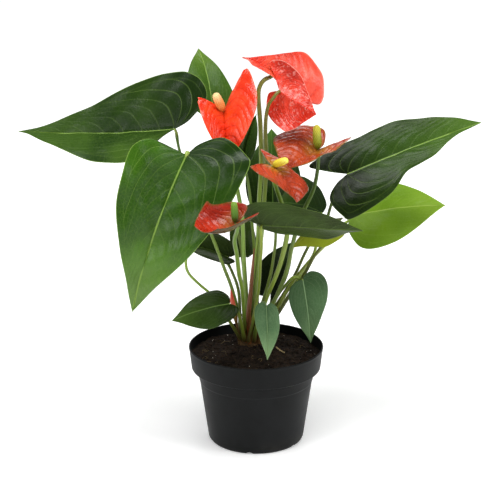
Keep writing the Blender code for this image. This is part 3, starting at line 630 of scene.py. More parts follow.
def blade_mesh(name, b, look, mats):
    """One closed blade: a fine grid on the hung heart shape, its relief raised
    along the normal, thinned towards the margin."""
    R, C = look["rows"], look["cols"]
    N, Q = look["veins"], look["quilt"]
    rng = np.random.default_rng(look["seed"])
    ph = rng.uniform(0, 2 * pi, 12)
    k = np.linspace(0, 1, C) ** 0.9
    rr = np.linspace(0, 1, R)
    P, vein, flat, relief, thin = [], [], [], [], []
    for h in (0, 1):
        E = half_outline(b.L, b.W[h], b.lobe[h], b.wide[h], b.gape[h], b.slim[h], R, 0.03, b.neck[h])
        for at, span, much in look.get("ripple", ((), ()))[h]:          # a margin that swings in and out
            E[:, 1] = np.maximum(E[:, 1] * (1 + much * np.exp(-((E[:, 0] / b.L - at) / span) ** 2)), 0)
        s = np.clip((rr - FAN) / (1 - FAN), 0, 1) ** 1.15 * b.L
        S = np.stack([s, 0 * s], -1)
        Fl = S[:, None] * (1 - k)[None, :, None] + E[:, None] * k[None, :, None]
        x, y = Fl[..., 0], Fl[..., 1]
        K = np.broadcast_to(k[None], x.shape)
        RR = np.broadcast_to(rr[:, None], x.shape)
        psi = RR - 0.15 * K ** 1.4 * (1 - ramp01(RR, 0.72, 1.0)) \
            - 0.24 * ramp01(K, 0.35, 1.0) * (1 - ramp01(RR, 0.55, 1.0)) * ramp01(RR, 0.0, 0.62)
        v = np.where(psi < FAN, psi / 0.12, (psi - FAN) / ((1 - FAN) / N) + 3.0)
        far = np.hypot(x, y)
        env = ramp01(far, 0.02 * b.L, 0.16 * b.L) * ramp01(1 - K, 0.02, 0.16) * ramp01(1 - RR, 0.0, 0.15)
        env = env * (0.35 + 0.65 * ramp01(K, 0.03, 0.3))
        up = Q * (0.65 - 0.5 * np.cos(2 * pi * v) - 0.5) * env
        roll = (np.sin(x * 0.11 + ph[0] + h) * np.cos(y * 0.13 + ph[1])
                + 0.6 * np.sin(x * 0.23 + y * 0.19 + ph[2])) * look["swell"] * ramp01(far, 0.05 * b.L, 0.3 * b.L)
        wave = look["wave"] * K ** 3 * np.sin(2 * pi * look["waves"][h] * RR + ph[3 + h]) \
            * ramp01(RR, 0.0, 0.12) * ramp01(1 - RR, 0.0, 0.12)
        pucker = look["pucker"] * (np.sin(x * 0.71 + 2.1 * np.sin(y * 0.31 + ph[5]) + ph[6])
                                   * np.sin(y * 0.83 + 1.7 * np.sin(x * 0.27 + ph[7]) + ph[8])) \
            * ramp01(far, 0.05 * b.L, 0.25 * b.L) * (1 - 0.5 * K)
        sgn = 1 if h == 0 else -1
        edge = np.minimum(1 - K, RR * 2.5 + 0.02)
        P.append(b.place(h, x, y))
        vein.append(np.stack([v, K, RR], -1))
        flat.append(np.stack([x, sgn * y, np.full_like(x, b.L)], -1))
        relief.append((up + roll + wave + pucker, y, far))
        thin.append(0.25 + 0.75 * ramp01(edge, 0.0, 0.05))

    def both(a):
        return np.concatenate([a[1][:, :0:-1], a[0]], axis=1)      # right margin .. left margin

    P, vein, flat, thin = both(P), both(vein), both(flat), both(thin)
    lift = both([q[0] for q in relief])
    dist = both([q[1] for q in relief])
    far = both([q[2] for q in relief])
    W = 2 * C - 1
    mid = C - 1
    uid = np.arange(R * W).reshape(R, W)
    fan = int(np.sum(rr <= FAN))
    uid[:fan, mid] = uid[0, mid]
    uid[-1, :] = uid[-1, mid]
    # the whole mid column shares one height, so the halves meet without a step
    lift[:fan, mid] = 0.0
    cells, corners = [], []
    for r in range(R - 1):
        for c in range(W - 1):
            q = [(r, c), (r + 1, c), (r + 1, c + 1), (r, c + 1)]
            ids, keep = [], []
            for g in q:
                i = uid[g]
                if i not in ids:
                    ids.append(i)
                    keep.append(g)
            if len(ids) >= 3:
                cells.append(ids)
                corners.append(keep)
    flatP = P.reshape(-1, 3)
    nrm = vertex_normals(flatP, cells)
    T = look["thick"] / 2
    g = dist.reshape(-1)
    sfrac = np.clip(flat[..., 0].reshape(-1) / b.L, 0, 1)
    rib_w = (1.5 - 1.1 * sfrac) * look["rib"]
    groove = np.exp(-(g / rib_w) ** 2) * (1 - 0.7 * sfrac) * ramp01(far.reshape(-1), 0.0, 5.0)
    th = thin.reshape(-1) * T
    top = flatP + nrm * (lift.reshape(-1) + th - 0.45 * look["rib"] * groove)[:, None]
    bot = flatP + nrm * (lift.reshape(-1) - th - 0.85 * look["rib"] * groove)[:, None]
    used = np.unique([i for f in cells for i in f])
    remap = -np.ones(len(flatP), int)
    remap[used] = np.arange(len(used))
    n = len(used)
    V = np.vstack([top[used], bot[used]])
    vr, fl = vein, flat
    F, M, A1, A2 = [], [], [], []
    for ids, keep in zip(cells, corners):
        F.append([remap[i] for i in ids])
        M.append(0)
        A1 += [vr[q] for q in keep]
        A2 += [fl[q] for q in keep]
    for ids, keep in zip(cells, corners):
        F.append([n + remap[i] for i in reversed(ids)])
        M.append(1)
        A1 += [vr[q] for q in reversed(keep)]
        A2 += [fl[q] for q in reversed(keep)]
    loop = [(0, c) for c in range(W)] + [(r, W - 1) for r in range(1, R)]
    loop += [(r, 0) for r in range(R - 2, 0, -1)]
    for a, z in zip(loop, loop[1:] + loop[:1]):
        i, j = remap[uid[a]], remap[uid[z]]
        if i == j:
            continue
        F.append([i, j, n + j, n + i])
        M.append(0)
        A1 += [vr[a], vr[z], vr[z], vr[a]]
        A2 += [fl[a], fl[z], fl[z], fl[a]]
    return mesh_piece(name, V, F, mats, M, {"vein": A1, "flat": A2}, sharp=75)


def crown_height(r):
    """Height of the crown's domed top above the potting mix, at radius r."""
    return CROWN_H * (1 - (r / CROWN_R) ** 2 * 0.62)


def foot(ring, bearing):
    r = STEM_RINGS[ring]
    a = radians(bearing)
    z = SOIL_TOP_Z + crown_height(r * MM) + 0.0009
    return (CROWN_X / MM + r * cos(a), CROWN_Y / MM + r * sin(a), z / MM)


# ================================================================ colours
def srgb(h):
    c = [int(h[i:i + 2], 16) / 255 for i in (0, 2, 4)]
    return tuple(v / 12.92 if v <= 0.04045 else ((v + 0.055) / 1.055) ** 2.4 for v in c)


# upper face: between the veins, its light patches, towards the tip (a painted sheen), veins
LEAF_LOOKS = {
    "leaf_01": ("203a10", "405f20", "385420", "7d9a55"), "leaf_02": ("284a0c", "427018", "607e46", "86a458"),
    "leaf_03": ("1b2c0e", "375422", "4a6a2c", "7c9a50"), "leaf_04": ("6d942a", "7fa534", "8bb040", "a9c565"),
    "leaf_05": ("38581e", "4a6a2a", "5a7830", "7c9a50"), "leaf_06": ("263c18", "304a1e", "3c5a26", "587540"),
    "leaf_07": ("1c340f", "284416", "42642c", "5f7d44"), "leaf_08": ("24391a", "2f4820", "3c5828", "587540"),
    "leaf_09": ("2c4416", "3d5a20", "4a6a2a", "6c8848"), "leaf_10": ("6c7a20", "8c982c", "949e34", "a8ae52"),
    "leaf_11": ("22360f", "3a5424", "48642c", "66824a"), "leaf_12": ("4a6850", "64826a", "7c9a7c", "98b296"),
    "leaf_13": ("304a30", "4c6a50", "6c8a6c", "88a488"), "leaf_14": ("141f0e", "1c2c13", "2e4422", "4a6238"),
    "leaf_15": ("263616", "324420", "3a4e24", "566a3a"), "leaf_16": ("2a3e18", "364c20", "405826", "5c743e"),
}
# underside: shade, light, veins
UNDER_LOOKS = {
    "leaf_09": ("26320f", "34461a", "50642e"), "leaf_10": ("5e6518", "8f982c", "a6aa48"),
    "leaf_12": ("607e66", "76927a", "90aa8e"), "leaf_13": ("3a563c", "547056", "84a084"),
    "leaf_04": ("6a8c30", "7c9c3c", "9cb45c"), "leaf_05": ("4e6c34", "648044", "84a060"),
}
UNDER_DEFAULT = ("2e4418", "40582a", "5e7640")
# face: furrows, light, margin, at the joint; then the other face; margin width
SPATHE_LOOKS = {
    "spathe_1": (("d42a0c", "fb4622", "fd6c4e", "e84818"), ("c83414", "e85030", "f07450", "b06a28"), 0.0),
    "spathe_2": (("e03c28", "fb5c46", "ffa595", "e05028"), ("d43420", "f25a44", "ffb0a0", "e05038"), 0.0),
    "spathe_3": (("c82410", "e43a20", "ff9682", "c84418"), ("c02410", "e03c26", "ffa898", "d8402a"), 0.0),
    "spathe_4": (("96300c", "ba481a", "7c5a20", "a8782a"), ("8c4a1c", "a86030", "6c5c20", "7c7c28"), 0.11),
    "spathe_5": (("88280a", "b83e1c", "80481c", "a88428"), ("7c3812", "9c4c20", "6c4c18", "7c7c28"), 0.16),
    "spathe_6": (("98200c", "c03418", "7c4818", "8c5a20"), ("402c0e", "583c14", "4a3a16", "6c7428"), 0.12),
}
SPADIX_LOOKS = {
    "spadix_1": ("d06c24", "f09a50", "f8d090"), "spadix_2": ("d08030", "ecaa58", "f4d490"),
    "spadix_3": ("c88838", "e8b058", "f0d488"), "spadix_4": ("5c7414", "98a024", "d0c83c"),
    "spadix_5": ("c8b020", "ecd838", "f6ea60"), "spadix_6": ("3c6414", "54801e", "74982c"),
}
STEM_LOOKS = {                       # low, high
    "petiole_01": ("6c842e", "4c6a20"), "petiole_02": ("84a038", "88a43c"),
    "petiole_03": ("5e6428", "5e762a"), "petiole_04": ("8ca03c", "98b046"),
    "petiole_05": ("5c6c28", "5c7430"), "petiole_06": ("647c2c", "5c7430"),
    "petiole_07": ("6c8030", "6c8438"), "petiole_08": ("5a6428", "64782c"),
    "petiole_09": ("76882c", "8c9c38"), "petiole_10": ("8c9a3c", "98a844"),
    "petiole_11": ("6c7c2c", "76883a"), "petiole_12": ("64782c", "6e8a50"),
    "petiole_13": ("7a8c30", "8ca43c"), "petiole_14": ("4c5c24", "54682a"),
    "petiole_15": ("5c6c28", "64782c"), "petiole_16": ("5c6c28", "5c7430"),
    "peduncle_1": ("80a03e", "6c8a2c"), "peduncle_2": ("86a03c", "7e7c30"),
    "peduncle_3": ("7c9638", "74702c"), "peduncle_4": ("6c8232", "54702a"),
    "peduncle_5": ("7c9030", "86a838"), "peduncle_6": ("6c842c", "5e7c28"),
}

# how fine each blade is, its side veins, and its relief in millimetres
BIG = dict(rows=112, cols=22, veins=8, quilt=0.30, swell=0.5, wave=0.9, waves=(3.2, 2.6),
           pucker=0.06, thick=0.7, rib=1.0)
MID = dict(rows=72, cols=15, veins=7, quilt=0.35, swell=0.35, wave=0.6, waves=(2.6, 2.2),
           pucker=0.04, thick=0.6, rib=0.8)
LITTLE = dict(rows=56, cols=12, veins=6, quilt=0.2, swell=0.25, wave=0.35, waves=(2.2, 1.8),
              pucker=0.03, thick=0.55, rib=0.6)
WAXY = dict(rows=140, cols=28, veins=7, quilt=0.45, swell=0.35, wave=0.7, waves=(3.4, 2.8),
            pucker=0.16, thick=0.8, rib=0.6)
# painted shade: how far the lobes (left, right) and the halves (left, right) are darkened to a deep green
PAINTED_SHADE = {"leaf_01": ((0.35, 0.85), (0.0, 0.60)), "leaf_02": ((1.0, 0.25), (0.12, 0.0)),
         "leaf_03": ((0.90, 0.75), (0.35, 0.25)), "leaf_04": ((0.15, 0.15), (0.0, 0.0)),
         "leaf_05": ((0.2, 0.2), (0.0, 0.0)), "leaf_10": ((0.1, 0.1), (0.0, 0.0)),
         "leaf_12": ((0.1, 0.1), (0.0, 0.0)), "leaf_13": ((0.2, 0.2), (0.0, 0.2))}
SIZE_OF = {"leaf_01": BIG, "leaf_02": BIG, "leaf_03": BIG, "leaf_04": MID, "leaf_05": MID,
           "leaf_07": MID, "leaf_09": MID, "leaf_11": MID, "leaf_13": MID, "leaf_15": MID}

# ================================================================ the plant
blades = {}
for i, (name, spec) in enumerate(LEAVES.items()):
    b = blades[name] = Blade(**spec)
    look = dict(SIZE_OF.get(name, LITTLE), seed=11 + i)
    if name == "leaf_02":
        look.update(swell=0.95, quilt=0.42)
    if name == "leaf_03":
        look.update(ripple=(((0.62, 0.08, -0.05), (0.86, 0.07, 0.10)), ((0.37, 0.10, -0.20), (0.60, 0.09, 0.18))))
    dark, light, tip, vein = [(c[0], c[1], c[2] * 0.72) for c in map(srgb, LEAF_LOOKS[name])]
    soft = name in ("leaf_12", "leaf_13")
    top = leaf_material(name + "_upper", dark, light, tip, vein, 0.44 if soft else 0.29, look["rib"] * (0.9 if name == "leaf_02" else 0.68),
                        lobes=PAINTED_SHADE.get(name, ((0.6, 0.6),))[0], halves=PAINTED_SHADE.get(name, (0, (0.3, 0.3)))[1],
                        shine=0.20 if name == "leaf_02" else 0.13 if look["rows"] > 100 else 0.10)
    low = under_material(name + "_under", *[srgb(c) for c in UNDER_LOOKS.get(name, UNDER_DEFAULT)],
                         rib=look["rib"] * 1.2)
    o = blade_mesh(name + "_blade", b, look, [top, low])
    finish_piece(o, "leaf_young" if name in ("leaf_04", "leaf_10", "leaf_12", "leaf_13") else "leaf", name)

for i, (name, spec) in enumerate(SPATHES.items()):
    b = blades[name] = Blade(**spec)
    face, back, edge = SPATHE_LOOKS[name]
    # strength of the pale pink streaks painted as highlights on the back of these spathes
    painted_highlight = {"spathe_2": 0.12, "spathe_3": 0.30}.get(name, 0.0)
    top = spathe_material(name + "_face", *[srgb(c) for c in face], edge_width=edge)
    low = spathe_material(name + "_back", *[srgb(c) for c in back], edge_width=edge * 1.3, rough=0.30,
                          painted_highlight=painted_highlight)
    look = dict(WAXY, seed=41 + i)
    if name == "spathe_6":
        look.update(quilt=0.2, wave=0.25, pucker=0.06)
    o = blade_mesh(name + "_petal", b, look, [top, low])
    finish_piece(o, "spathe", name)

for name, (owner, stand, route) in STEMS.items():
    b = blades[owner]
    leaf = owner.startswith("leaf")
    radii = STOUT.get(name, PETIOLE_R if leaf else PEDUNCLE_R)
    under = -b.nrm[0]
    path = [foot(*stand)] + list(reversed(route)) + [tuple(b.J + under * KNEE), tuple(b.J + under * 0.35)]
    P = even(path, 90)
    total = np.linalg.norm(np.diff(P, axis=0), axis=1).sum()
    s = np.linspace(0, 1, 90)
    R = np.interp(s, np.linspace(0, 1, len(radii)), radii)
    R = R * (1 + 0.35 * np.exp(-(s * total / 9.0) ** 2))                # flared foot
    knee = min(9.0, 0.16 * total)
    back = (1 - s) * total
    R = R * (1 + (0.30 if leaf else 0.08) * np.exp(-((back - knee) / (0.55 * knee)) ** 2))
    R = R * np.where(back < 0.5 * knee, 0.86 + 0.28 * back / knee, 1.0)
    low, high = [srgb(c) for c in STEM_LOOKS[name]]
    mat = stem_material(name + "_skin", low, high, srgb("9fb050") if leaf else None)

    def ridges(a, q, k=len(name) + int(total)):
        return 0.02 * sin(3 * q + k) + 0.03 * sin(q + 7 * a + k)
    V, F, A = tube(P, R, 14, ridges)
    finish_piece(mesh_piece(name + "_stem", V, F, [mat], None, {"stem": A}),
                 "petiole" if leaf else "peduncle", name)

# a light green cushion where the stalk of the largest front leaf meets its blade
b = blades["leaf_02"]
c = b.J + b.nrm[0] * 0.9 - b.t[0] * 1.4
V, F, A = tube([c - b.t[0] * 2.0 - b.nrm[0] * 2.2, c - b.t[0] * 0.9, c + b.t[0] * 0.9 + b.nrm[0] * 0.1,
                c + b.t[0] * 3.2 - b.nrm[0] * 0.5], [1.6, 2.3, 2.1, 0.7], 16)
finish_piece(mesh_piece("leaf_02_cushion", V, F,
                        [stem_material("cushion", srgb("8aa040"), srgb("a8bc5c"))], None,
                        {"stem": [(0.4 + 0.6 * a[0], a[1], 0) for a in A]}), "petiole")


def spadix_mesh(name, at, direction, length, radius, mat, seed):
    """A tapered finger packed with florets on two families of spirals."""
    rng = np.random.default_rng(seed)
    d = unit(np.array(direction, float))
    prof = catmull([(0, 0.0), (0.05, 0.36), (0.12, 0.62), (0.28, 0.95), (0.52, 1.0), (0.78, 0.92),
                    (0.92, 0.76), (0.985, 0.42), (1.0, 0.02)], 84)
    a = unit(np.cross(d, [0.3, 1.0, 0.2]))
    c = np.cross(d, a)
    bow = unit(rng.normal(size=3)) * 0.6
    turns, rows = 11, 15 if length > 16 else 11
    sides = 66
    V, F, A = [], [], []
    for z, r in prof:
        for k in range(sides):
            q = 2 * pi * k / sides
            u = z * rows
            w = 0.5 + 0.25 * (cos(turns * q + pi * u) + cos(turns * q - pi * u))
            bumpy = (w ** 0.8 - 0.5) * 0.55 * ramp01(z, 0.03, 0.14)
            rr = max(r * radius * 1.02 + bumpy * min(1.0, r * 1.4), 0.02)
            p = np.array(at) + d * (z * length) + rr * (cos(q) * a + sin(q) * c) + bow * sin(pi * z) * 0.8
            V.append(p)
            A.append((z, k / sides, w))
    n = len(prof)
    C = []
    for j in range(n - 1):
        for k in range(sides):
            k2 = (k + 1) % sides
            q = [j * sides + k, j * sides + k2, (j + 1) * sides + k2, (j + 1) * sides + k]
            F.append(q)
            C += [A[i] for i in q]
    F.append(list(range(sides))[::-1])
    C += [A[i] for i in range(sides)][::-1]
    F.append([(n - 1) * sides + k for k in range(sides)])
    C += [A[(n - 1) * sides + k] for k in range(sides)]
    return mesh_piece(name, V, F, [mat], None, {"stem": C})


for i, (name, (spathe, direction, length, radius)) in enumerate(SPADICES.items()):
    b = blades[spathe]
    d = unit(np.array(direction, float))
    mat = spadix_material(name + "_florets", *[srgb(c) for c in SPADIX_LOOKS[name]])
    o = spadix_mesh(name + "_spike", b.J + b.nrm[0] * 0.6 + d * 0.2, direction, length + 0.8, radius, mat, 61 + i)
    finish_piece(o, "spadix", name)


def rolled(name, path, radii, turns, mat, slot, node, lip=0.16, sides=40, n=70):
    """A rolled young blade: a tube whose free edge winds round it as a low step."""
    P = even(path, n)
    s = np.linspace(0, 1, n)
    R = np.interp(s, np.linspace(0, 1, len(radii)), radii)

    def seam(a, q):
        u = ((q / (2 * pi)) - turns * a) % 1.0
        return lip * (u - 0.5)
    V, F, A = tube(P, R, sides, seam)
    return finish_piece(mesh_piece(name, V, F, [mat], None, {"stem": A}, sharp=60), slot, node)


rolled("flower_bud_roll", [foot(2, 187), (-21, 10, 125), (-23.5, 4, 142), (-26, 2, 162)],
       (1.1, 1.2, 1.5, 2.9, 3.1, 2.0, 0.5), 1.3,
       stem_material("bud_skin", srgb("8c6a34"), srgb("dc4a3c"), srgb("a8404c"), 0.2), "bud", "flower_bud")
rolled("leaf_spear_roll", [foot(1, 250), (-8, 9, 130), (-5, 7, 165), (-2, 6, 205)],
       (1.9, 2.3, 2.4, 2.3, 1.9, 1.3, 0.5), 1.6,
       stem_material("spear_skin", srgb("7c4a24"), srgb("8a5030"), None, 0.4), "spear", "leaf_spear")

# ---------------------------------------------------------------- crown
def grain(p, scale, octaves=4):
    return noise.fractal(Vector(p) * scale, 0.9, 2.0, octaves, noise_basis='PERLIN_ORIGINAL')


def bark_material(name, dark, light):
    t = Tree(name)
    place = t.place()
    fibre = t.noise(t.scale(place, (900, 900, 130)), 1.0, 5, 0.65)
    blot = t.noise(place, 130, 4, 0.6)
    base = t.mix(t.step(fibre, 0.35, 0.68), dark, light)
    base = t.mix(t.step(blot, 0.5, 0.75, 0.0, 0.6), base, tuple(c * 0.35 for c in dark))
    return t.done(base, 0.78, t.bump(fibre, 0.8, 0.0008), 0.2)


rings, sides = 22, 72
V, F = [], []
for j in range(rings + 1):
    r = CROWN_R / MM * 1.02 * j / rings
    for k in range(sides):
        q = 2 * pi * k / sides
        x, y = CROWN_X / MM + r * cos(q), CROWN_Y / MM + r * sin(q)
        z = SOIL_TOP_Z / MM + crown_height(min(r * MM, CROWN_R)) / MM
        z += 1.3 * grain((x, y, 3), 0.35) - (6.2 * ramp01(r, 12.0, 16.1))
        V.append((x, y, z))
for j in range(rings):
    for k in range(sides):
        k2 = (k + 1) % sides
        F.append((j * sides + k, (j + 1) * sides + k, (j + 1) * sides + k2, j * sides + k2))
F.append([rings * sides + k for k in range(sides)][::-1])
F.append([k for k in range(sides)])
crown_o = mesh_piece("crown_base", V, F, [bark_material("crown_bark", srgb("3a2a16"), srgb("6a5030"))])
finish_piece(crown_o, "crown", "crown")

# dry pointed sheaths round the stems: bearing, radius, height, width, lean, colour
SHEATHS = [(262, 13.5, 44, 5.5, 2.0, "7c5028"), (238, 12.0, 30, 6.0, -2.5, "8a5a2c"),
           (286, 12.5, 26, 6.5, 3.0, "5c3c1e"), (305, 14.0, 34, 5.0, 4.0, "6a4a26"),
           (330, 13.0, 22, 6.0, 5.0, "74562e"), (212, 13.5, 38, 4.5, -5.0, "7a5a34"),
           (186, 13.5, 24, 5.5, -5.0, "60421f"), (20, 13.5, 26, 5.5, 5.0, "5c4020"),
           (70, 13.0, 30, 6.0, 2.0, "64451f"), (115, 13.5, 24, 6.0, -2.0, "6a4c28"),
           (150, 13.0, 28, 5.0, -4.0, "5c3e1e"), (275, 5.0, 52, 5.0, 7.5, "3f2614"),
           (250, 9.5, 22, 5.0, 0.5, "a05c2c"), (300, 9.0, 30, 4.5, 3.0, "6c3c1c")]
for i, (bearing, rad, high, wide, lean, colour) in enumerate(SHEATHS):
    a = radians(bearing)
    base = np.array([CROWN_X / MM + rad * cos(a), CROWN_Y / MM + rad * sin(a), SOIL_TOP_Z / MM + 2.2])
    outv = np.array([cos(a), sin(a), 0.0])
    side = np.array([-sin(a), cos(a), 0.0])
    n, m = 26, 9
    top, bot = [], []
    for j in range(n):
        s = j / (n - 1)
        c = base + np.array([0, 0, s * high]) + outv * (0.2 * high * s * s * (1 if rad > 8 else 0.1)) \
            + np.array([lean * s, 0, 0]) + side * 0.8 * sin(5 * s + i)
        w = wide * 0.5 * (1 - s) ** 0.7 * (0.75 + 0.5 * s) + 0.08
        for k in range(m):
            q = (k / (m - 1) - 0.5) * 2.6
            p = c + side * (w * sin(q) / 0.96) + outv * (w * 0.8 * (cos(q) - 0.6)) \
                + outv * 0.35 * grain((k * 1.3, j * 0.6, i), 1.0, 2)
            top.append(p + outv * 0.14)
            bot.append(p - outv * 0.14)
    V = top + bot
    N0 = n * m
    F = []
    for j in range(n - 1):
        for k in range(m - 1):
            q = [j * m + k, j * m + k + 1, (j + 1) * m + k + 1, (j + 1) * m + k]
            F.append(q)
            F.append([N0 + v for v in reversed(q)])
    edge = [k for k in range(m)] + [(j + 1) * m - 1 for j in range(1, n)] \
        + [(n - 1) * m + k for k in range(m - 2, -1, -1)] + [j * m for j in range(n - 2, 0, -1)]
    for u, v in zip(edge, edge[1:] + edge[:1]):
        F.append([v, u, N0 + u, N0 + v])
    col = srgb(colour)
    finish_piece(mesh_piece("sheath_%02d" % (i + 1), V, F,
                            [bark_material("sheath_%02d_fibre" % (i + 1), tuple(c * 0.6 for c in col), col)],
                            sharp=50), "crown")


# ================================================================ the pot
def fillet(points, n=4):
    """points are (radius, height, corner size); each corner becomes a small arc."""
    out = []
    for i, (x, z, d) in enumerate(points):
        if d <= 0 or i in (0, len(points) - 1):
            out.append((x, z))
            continue
        p = np.array([x, z])
        a = np.array(points[i - 1][:2]) - p
        b = np.array(points[i + 1][:2]) - p
        da, db = min(d, 0.48 * np.linalg.norm(a)), min(d, 0.48 * np.linalg.norm(b))
        a, b = p + unit(a) * da, p + unit(b) * db
        for f in np.linspace(0, 1, n):
            out.append(tuple((1 - f) ** 2 * a + 2 * f * (1 - f) * p + f * f * b))
    return out


def revolve(name, prof, sides, mats, wobble=None):
    """prof runs from the axis to the axis; a closed solid facing out."""
    V, F = [], []
    for j, (r, z) in enumerate(prof[1:-1]):
        for k in range(sides):
            q = 2 * pi * k / sides
            d = wobble(r, z, q) if wobble else 0
            V.append(((r + d) * cos(q), (r + d) * sin(q), z))
    n = len(prof) - 2
    for j in range(n - 1):
        for k in range(sides):
            k2 = (k + 1) % sides
            F.append((j * sides + k, (j + 1) * sides + k, (j + 1) * sides + k2, j * sides + k2))
    V.append((0, 0, prof[0][1]))
    V.append((0, 0, prof[-1][1]))
    for k in range(sides):
        k2 = (k + 1) % sides
        F.append((len(V) - 2, k, k2))
        F.append((len(V) - 1, (n - 1) * sides + k2, (n - 1) * sides + k))
    return mesh_piece(name, V, F, mats, sharp=28)


t = Tree("black_plastic")
place = t.place()
cloud = t.noise(place, 26, 4, 0.6)
scuff = t.noise(t.scale(place, (1, 1, 0.12)), 700, 5, 0.7)
height = t.new("ShaderNodeSeparateXYZ")
t.put(height.inputs[0], place)
dust = t.math('MULTIPLY', t.step(height.outputs[2], 0.018, 0.0, 0.0, 1.0), t.step(cloud, 0.4, 0.7))
base = t.mix(t.step(cloud, 0.35, 0.7), (0.0060, 0.0066, 0.0066), (0.0095, 0.0102, 0.0106))
base = t.mix(t.step(scuff, 0.66, 0.84, 0.0, 0.35), base, (0.030, 0.031, 0.032))
base = t.mix(t.math('MULTIPLY', dust, 0.4), base, (0.040, 0.036, 0.030))
plastic = t.done(base, t.step(cloud, 0.3, 0.75, 0.42, 0.56),
                 t.bump(t.noise(place, 2600, 2, 0.5), 0.12, 0.0002), 0.10)

ZC = (POT_H - COLLAR_H) / MM
TAPER = (BODY_TOP_R - BODY_FOOT_R) / (POT_H - COLLAR_H)


def body(z, inset=0.0):
    return (BODY_FOOT_R / MM + TAPER * z) - (STEP / MM if z < STEP_Z / MM else 0) - inset


w, sz, cf, ht, rr = WALL / MM, STEP_Z / MM, COLLAR_FOOT_R / MM, POT_H / MM, RIM_R / MM
outline = [(0, w + 0.2, 0), (body(4, w) - 1.5, w + 0.2, 1.2), (body(4, w), 4.0, 1.2),
           (body(sz - 0.6, w), sz - 0.6, 0.3), (body(sz + 0.6, w), sz + 0.6, 0.3),
           (body(ZC - 1.2, w), ZC - 0.2, 0.7), (cf - 1.3, ZC + 1.2, 0.7),
           (rr - 1.8, ht - 0.9, 0.5), (rr - 1.5, ht, 0.35), (rr - 0.25, ht, 0.45),
           (rr, ht - 0.9, 0.35), (rr - 0.45, ht - 2.6, 0.5),
           (cf, ZC, 0.45), (cf - 0.9, ZC - 0.7, 0.4), (body(ZC - 1.7), ZC - 1.7, 0.8),
           (body(sz + 0.7), sz + 0.7, 0.35), (body(sz - 0.7), sz - 0.7, 0.35),
           (body(3.0) - 0.02, 3.2, 1.6), (body(0) - 1.0, 0.7, 0.8), (body(0) - 3.4, 0, 0.7), (0, 0, 0)]
prof = [p for p in fillet(outline, 4)]
pot_o = revolve("pot_shell", prof, 144, [plastic])
cutters = []
for i in range(DRAIN_COUNT):
    a = 2 * pi * (i + 0.5) / DRAIN_COUNT + radians(4)
    bpy.ops.mesh.primitive_cylinder_add(vertices=40, radius=DRAIN_R, depth=0.006,
                                        location=(DRAIN_RING * cos(a), DRAIN_RING * sin(a), 0.0005))
    cutters.append(bpy.context.object)
for i in range(NOTCH_COUNT):
    a = 2 * pi * i / NOTCH_COUNT + radians(-98)
    bpy.ops.mesh.primitive_cylinder_add(vertices=48, radius=NOTCH_R, depth=0.009,
                                        location=(0.0490 * cos(a), 0.0490 * sin(a), -0.0026),
                                        rotation=(0, pi / 2, a))
    cutters.append(bpy.context.object)
for c in cutters:
    mod = pot_o.modifiers.new(c.name, "BOOLEAN")
    mod.operation = 'DIFFERENCE'
    mod.object = c
bpy.context.view_layer.update()
done = bpy.data.meshes.new_from_object(pot_o.evaluated_get(bpy.context.evaluated_depsgraph_get()))
pot_o.modifiers.clear()
pot_o.data = done
for c in cutters:
    bpy.data.objects.remove(c)
for m in list(done.materials):
    if m is None:
        done.materials.pop(index=list(done.materials).index(None))
done.shade_smooth()
done.set_sharp_from_angle(angle=radians(30))
finish_piece(pot_o, "pot", "pot")

# ================================================================ potting mix
t = Tree("peat")
place = t.place()
lump = t.noise(place, 190, 5, 0.7)
fine = t.noise(place, 1100, 4, 0.7)
base = t.mix(t.step(lump, 0.34, 0.70), srgb("15100c"), srgb("33261b"))
base = t.mix(t.step(fine, 0.60, 0.78, 0.0, 0.75), base, srgb("5a4632"))
base = t.mix(t.step(t.cells(place, 300, 'F1'), 0.10, 0.02, 0.0, 0.5), base, srgb("0c0907"))
h = t.math('ADD', lump, t.math('MULTIPLY', fine, 0.5))
peat = t.done(base, 0.93, t.bump(h, 0.9, 0.0016), 0.18)

RIM_IN = (cf - 1.3) + (rr - 1.9 - cf + 1.3) * (SOIL_EDGE_Z / MM - ZC - 1.2) / (COLLAR_H / MM - 2.0)


def soil_level(r):
    return float(np.interp(r, [0, 20, 34, 52, 66.5], [98.5, 98.5, 96.9, 94.7, 93.6])) - 0.4


def soil_height(x, y):
    """Height of the mix in millimetres at a place in the pot."""
    r = float(np.hypot(x, y))
    z = soil_level(r)
    z += 1.5 * grain((x, y, 0), 0.09, 3) + 1.1 * grain((x, y, 9), 0.26, 3) + 0.5 * grain((x, y, 5), 0.8, 2)
    return z - 1.0 * float(ramp01(r, 61, 67))


rings, sides = 96, 220
V, F = [], []
for j in range(rings + 1):
    r = RIM_IN * (j / rings) ** 0.85
    for k in range(sides):
        q = 2 * pi * k / sides
        V.append((r * cos(q), r * sin(q), soil_height(r * cos(q), r * sin(q))))
for j in range(rings):
    for k in range(sides):
        k2 = (k + 1) % sides
        F.append((j * sides + k, (j + 1) * sides + k, (j + 1) * sides + k2, j * sides + k2))
F.append([k for k in range(sides)])
last = rings * sides
g = WALL / MM + STEP / MM + 0.4
for r, z in ((cf - 2.1, ZC + 2.0), (body(ZC - 1.5, w) - 0.7, ZC - 2.5), (body(6.0, w) - 0.7, 6.0), (body(6.0, w) - 3.0, w + 0.7)):
    for k in range(sides):
        q = 2 * pi * k / sides
        V.append((r * cos(q), r * sin(q), z))
    new = len(V) - sides
    for k in range(sides):
        k2 = (k + 1) % sides
        F.append((last + k, new + k, new + k2, last + k2))
    last = new
F.append([last + k for k in range(sides)][::-1])
finish_piece(mesh_piece("potting_mix", V, F, [peat]), "soil", "soil")

# crumbs of peat, a few white grains of perlite, and pale fibres lying on it
rng = np.random.default_rng(7)


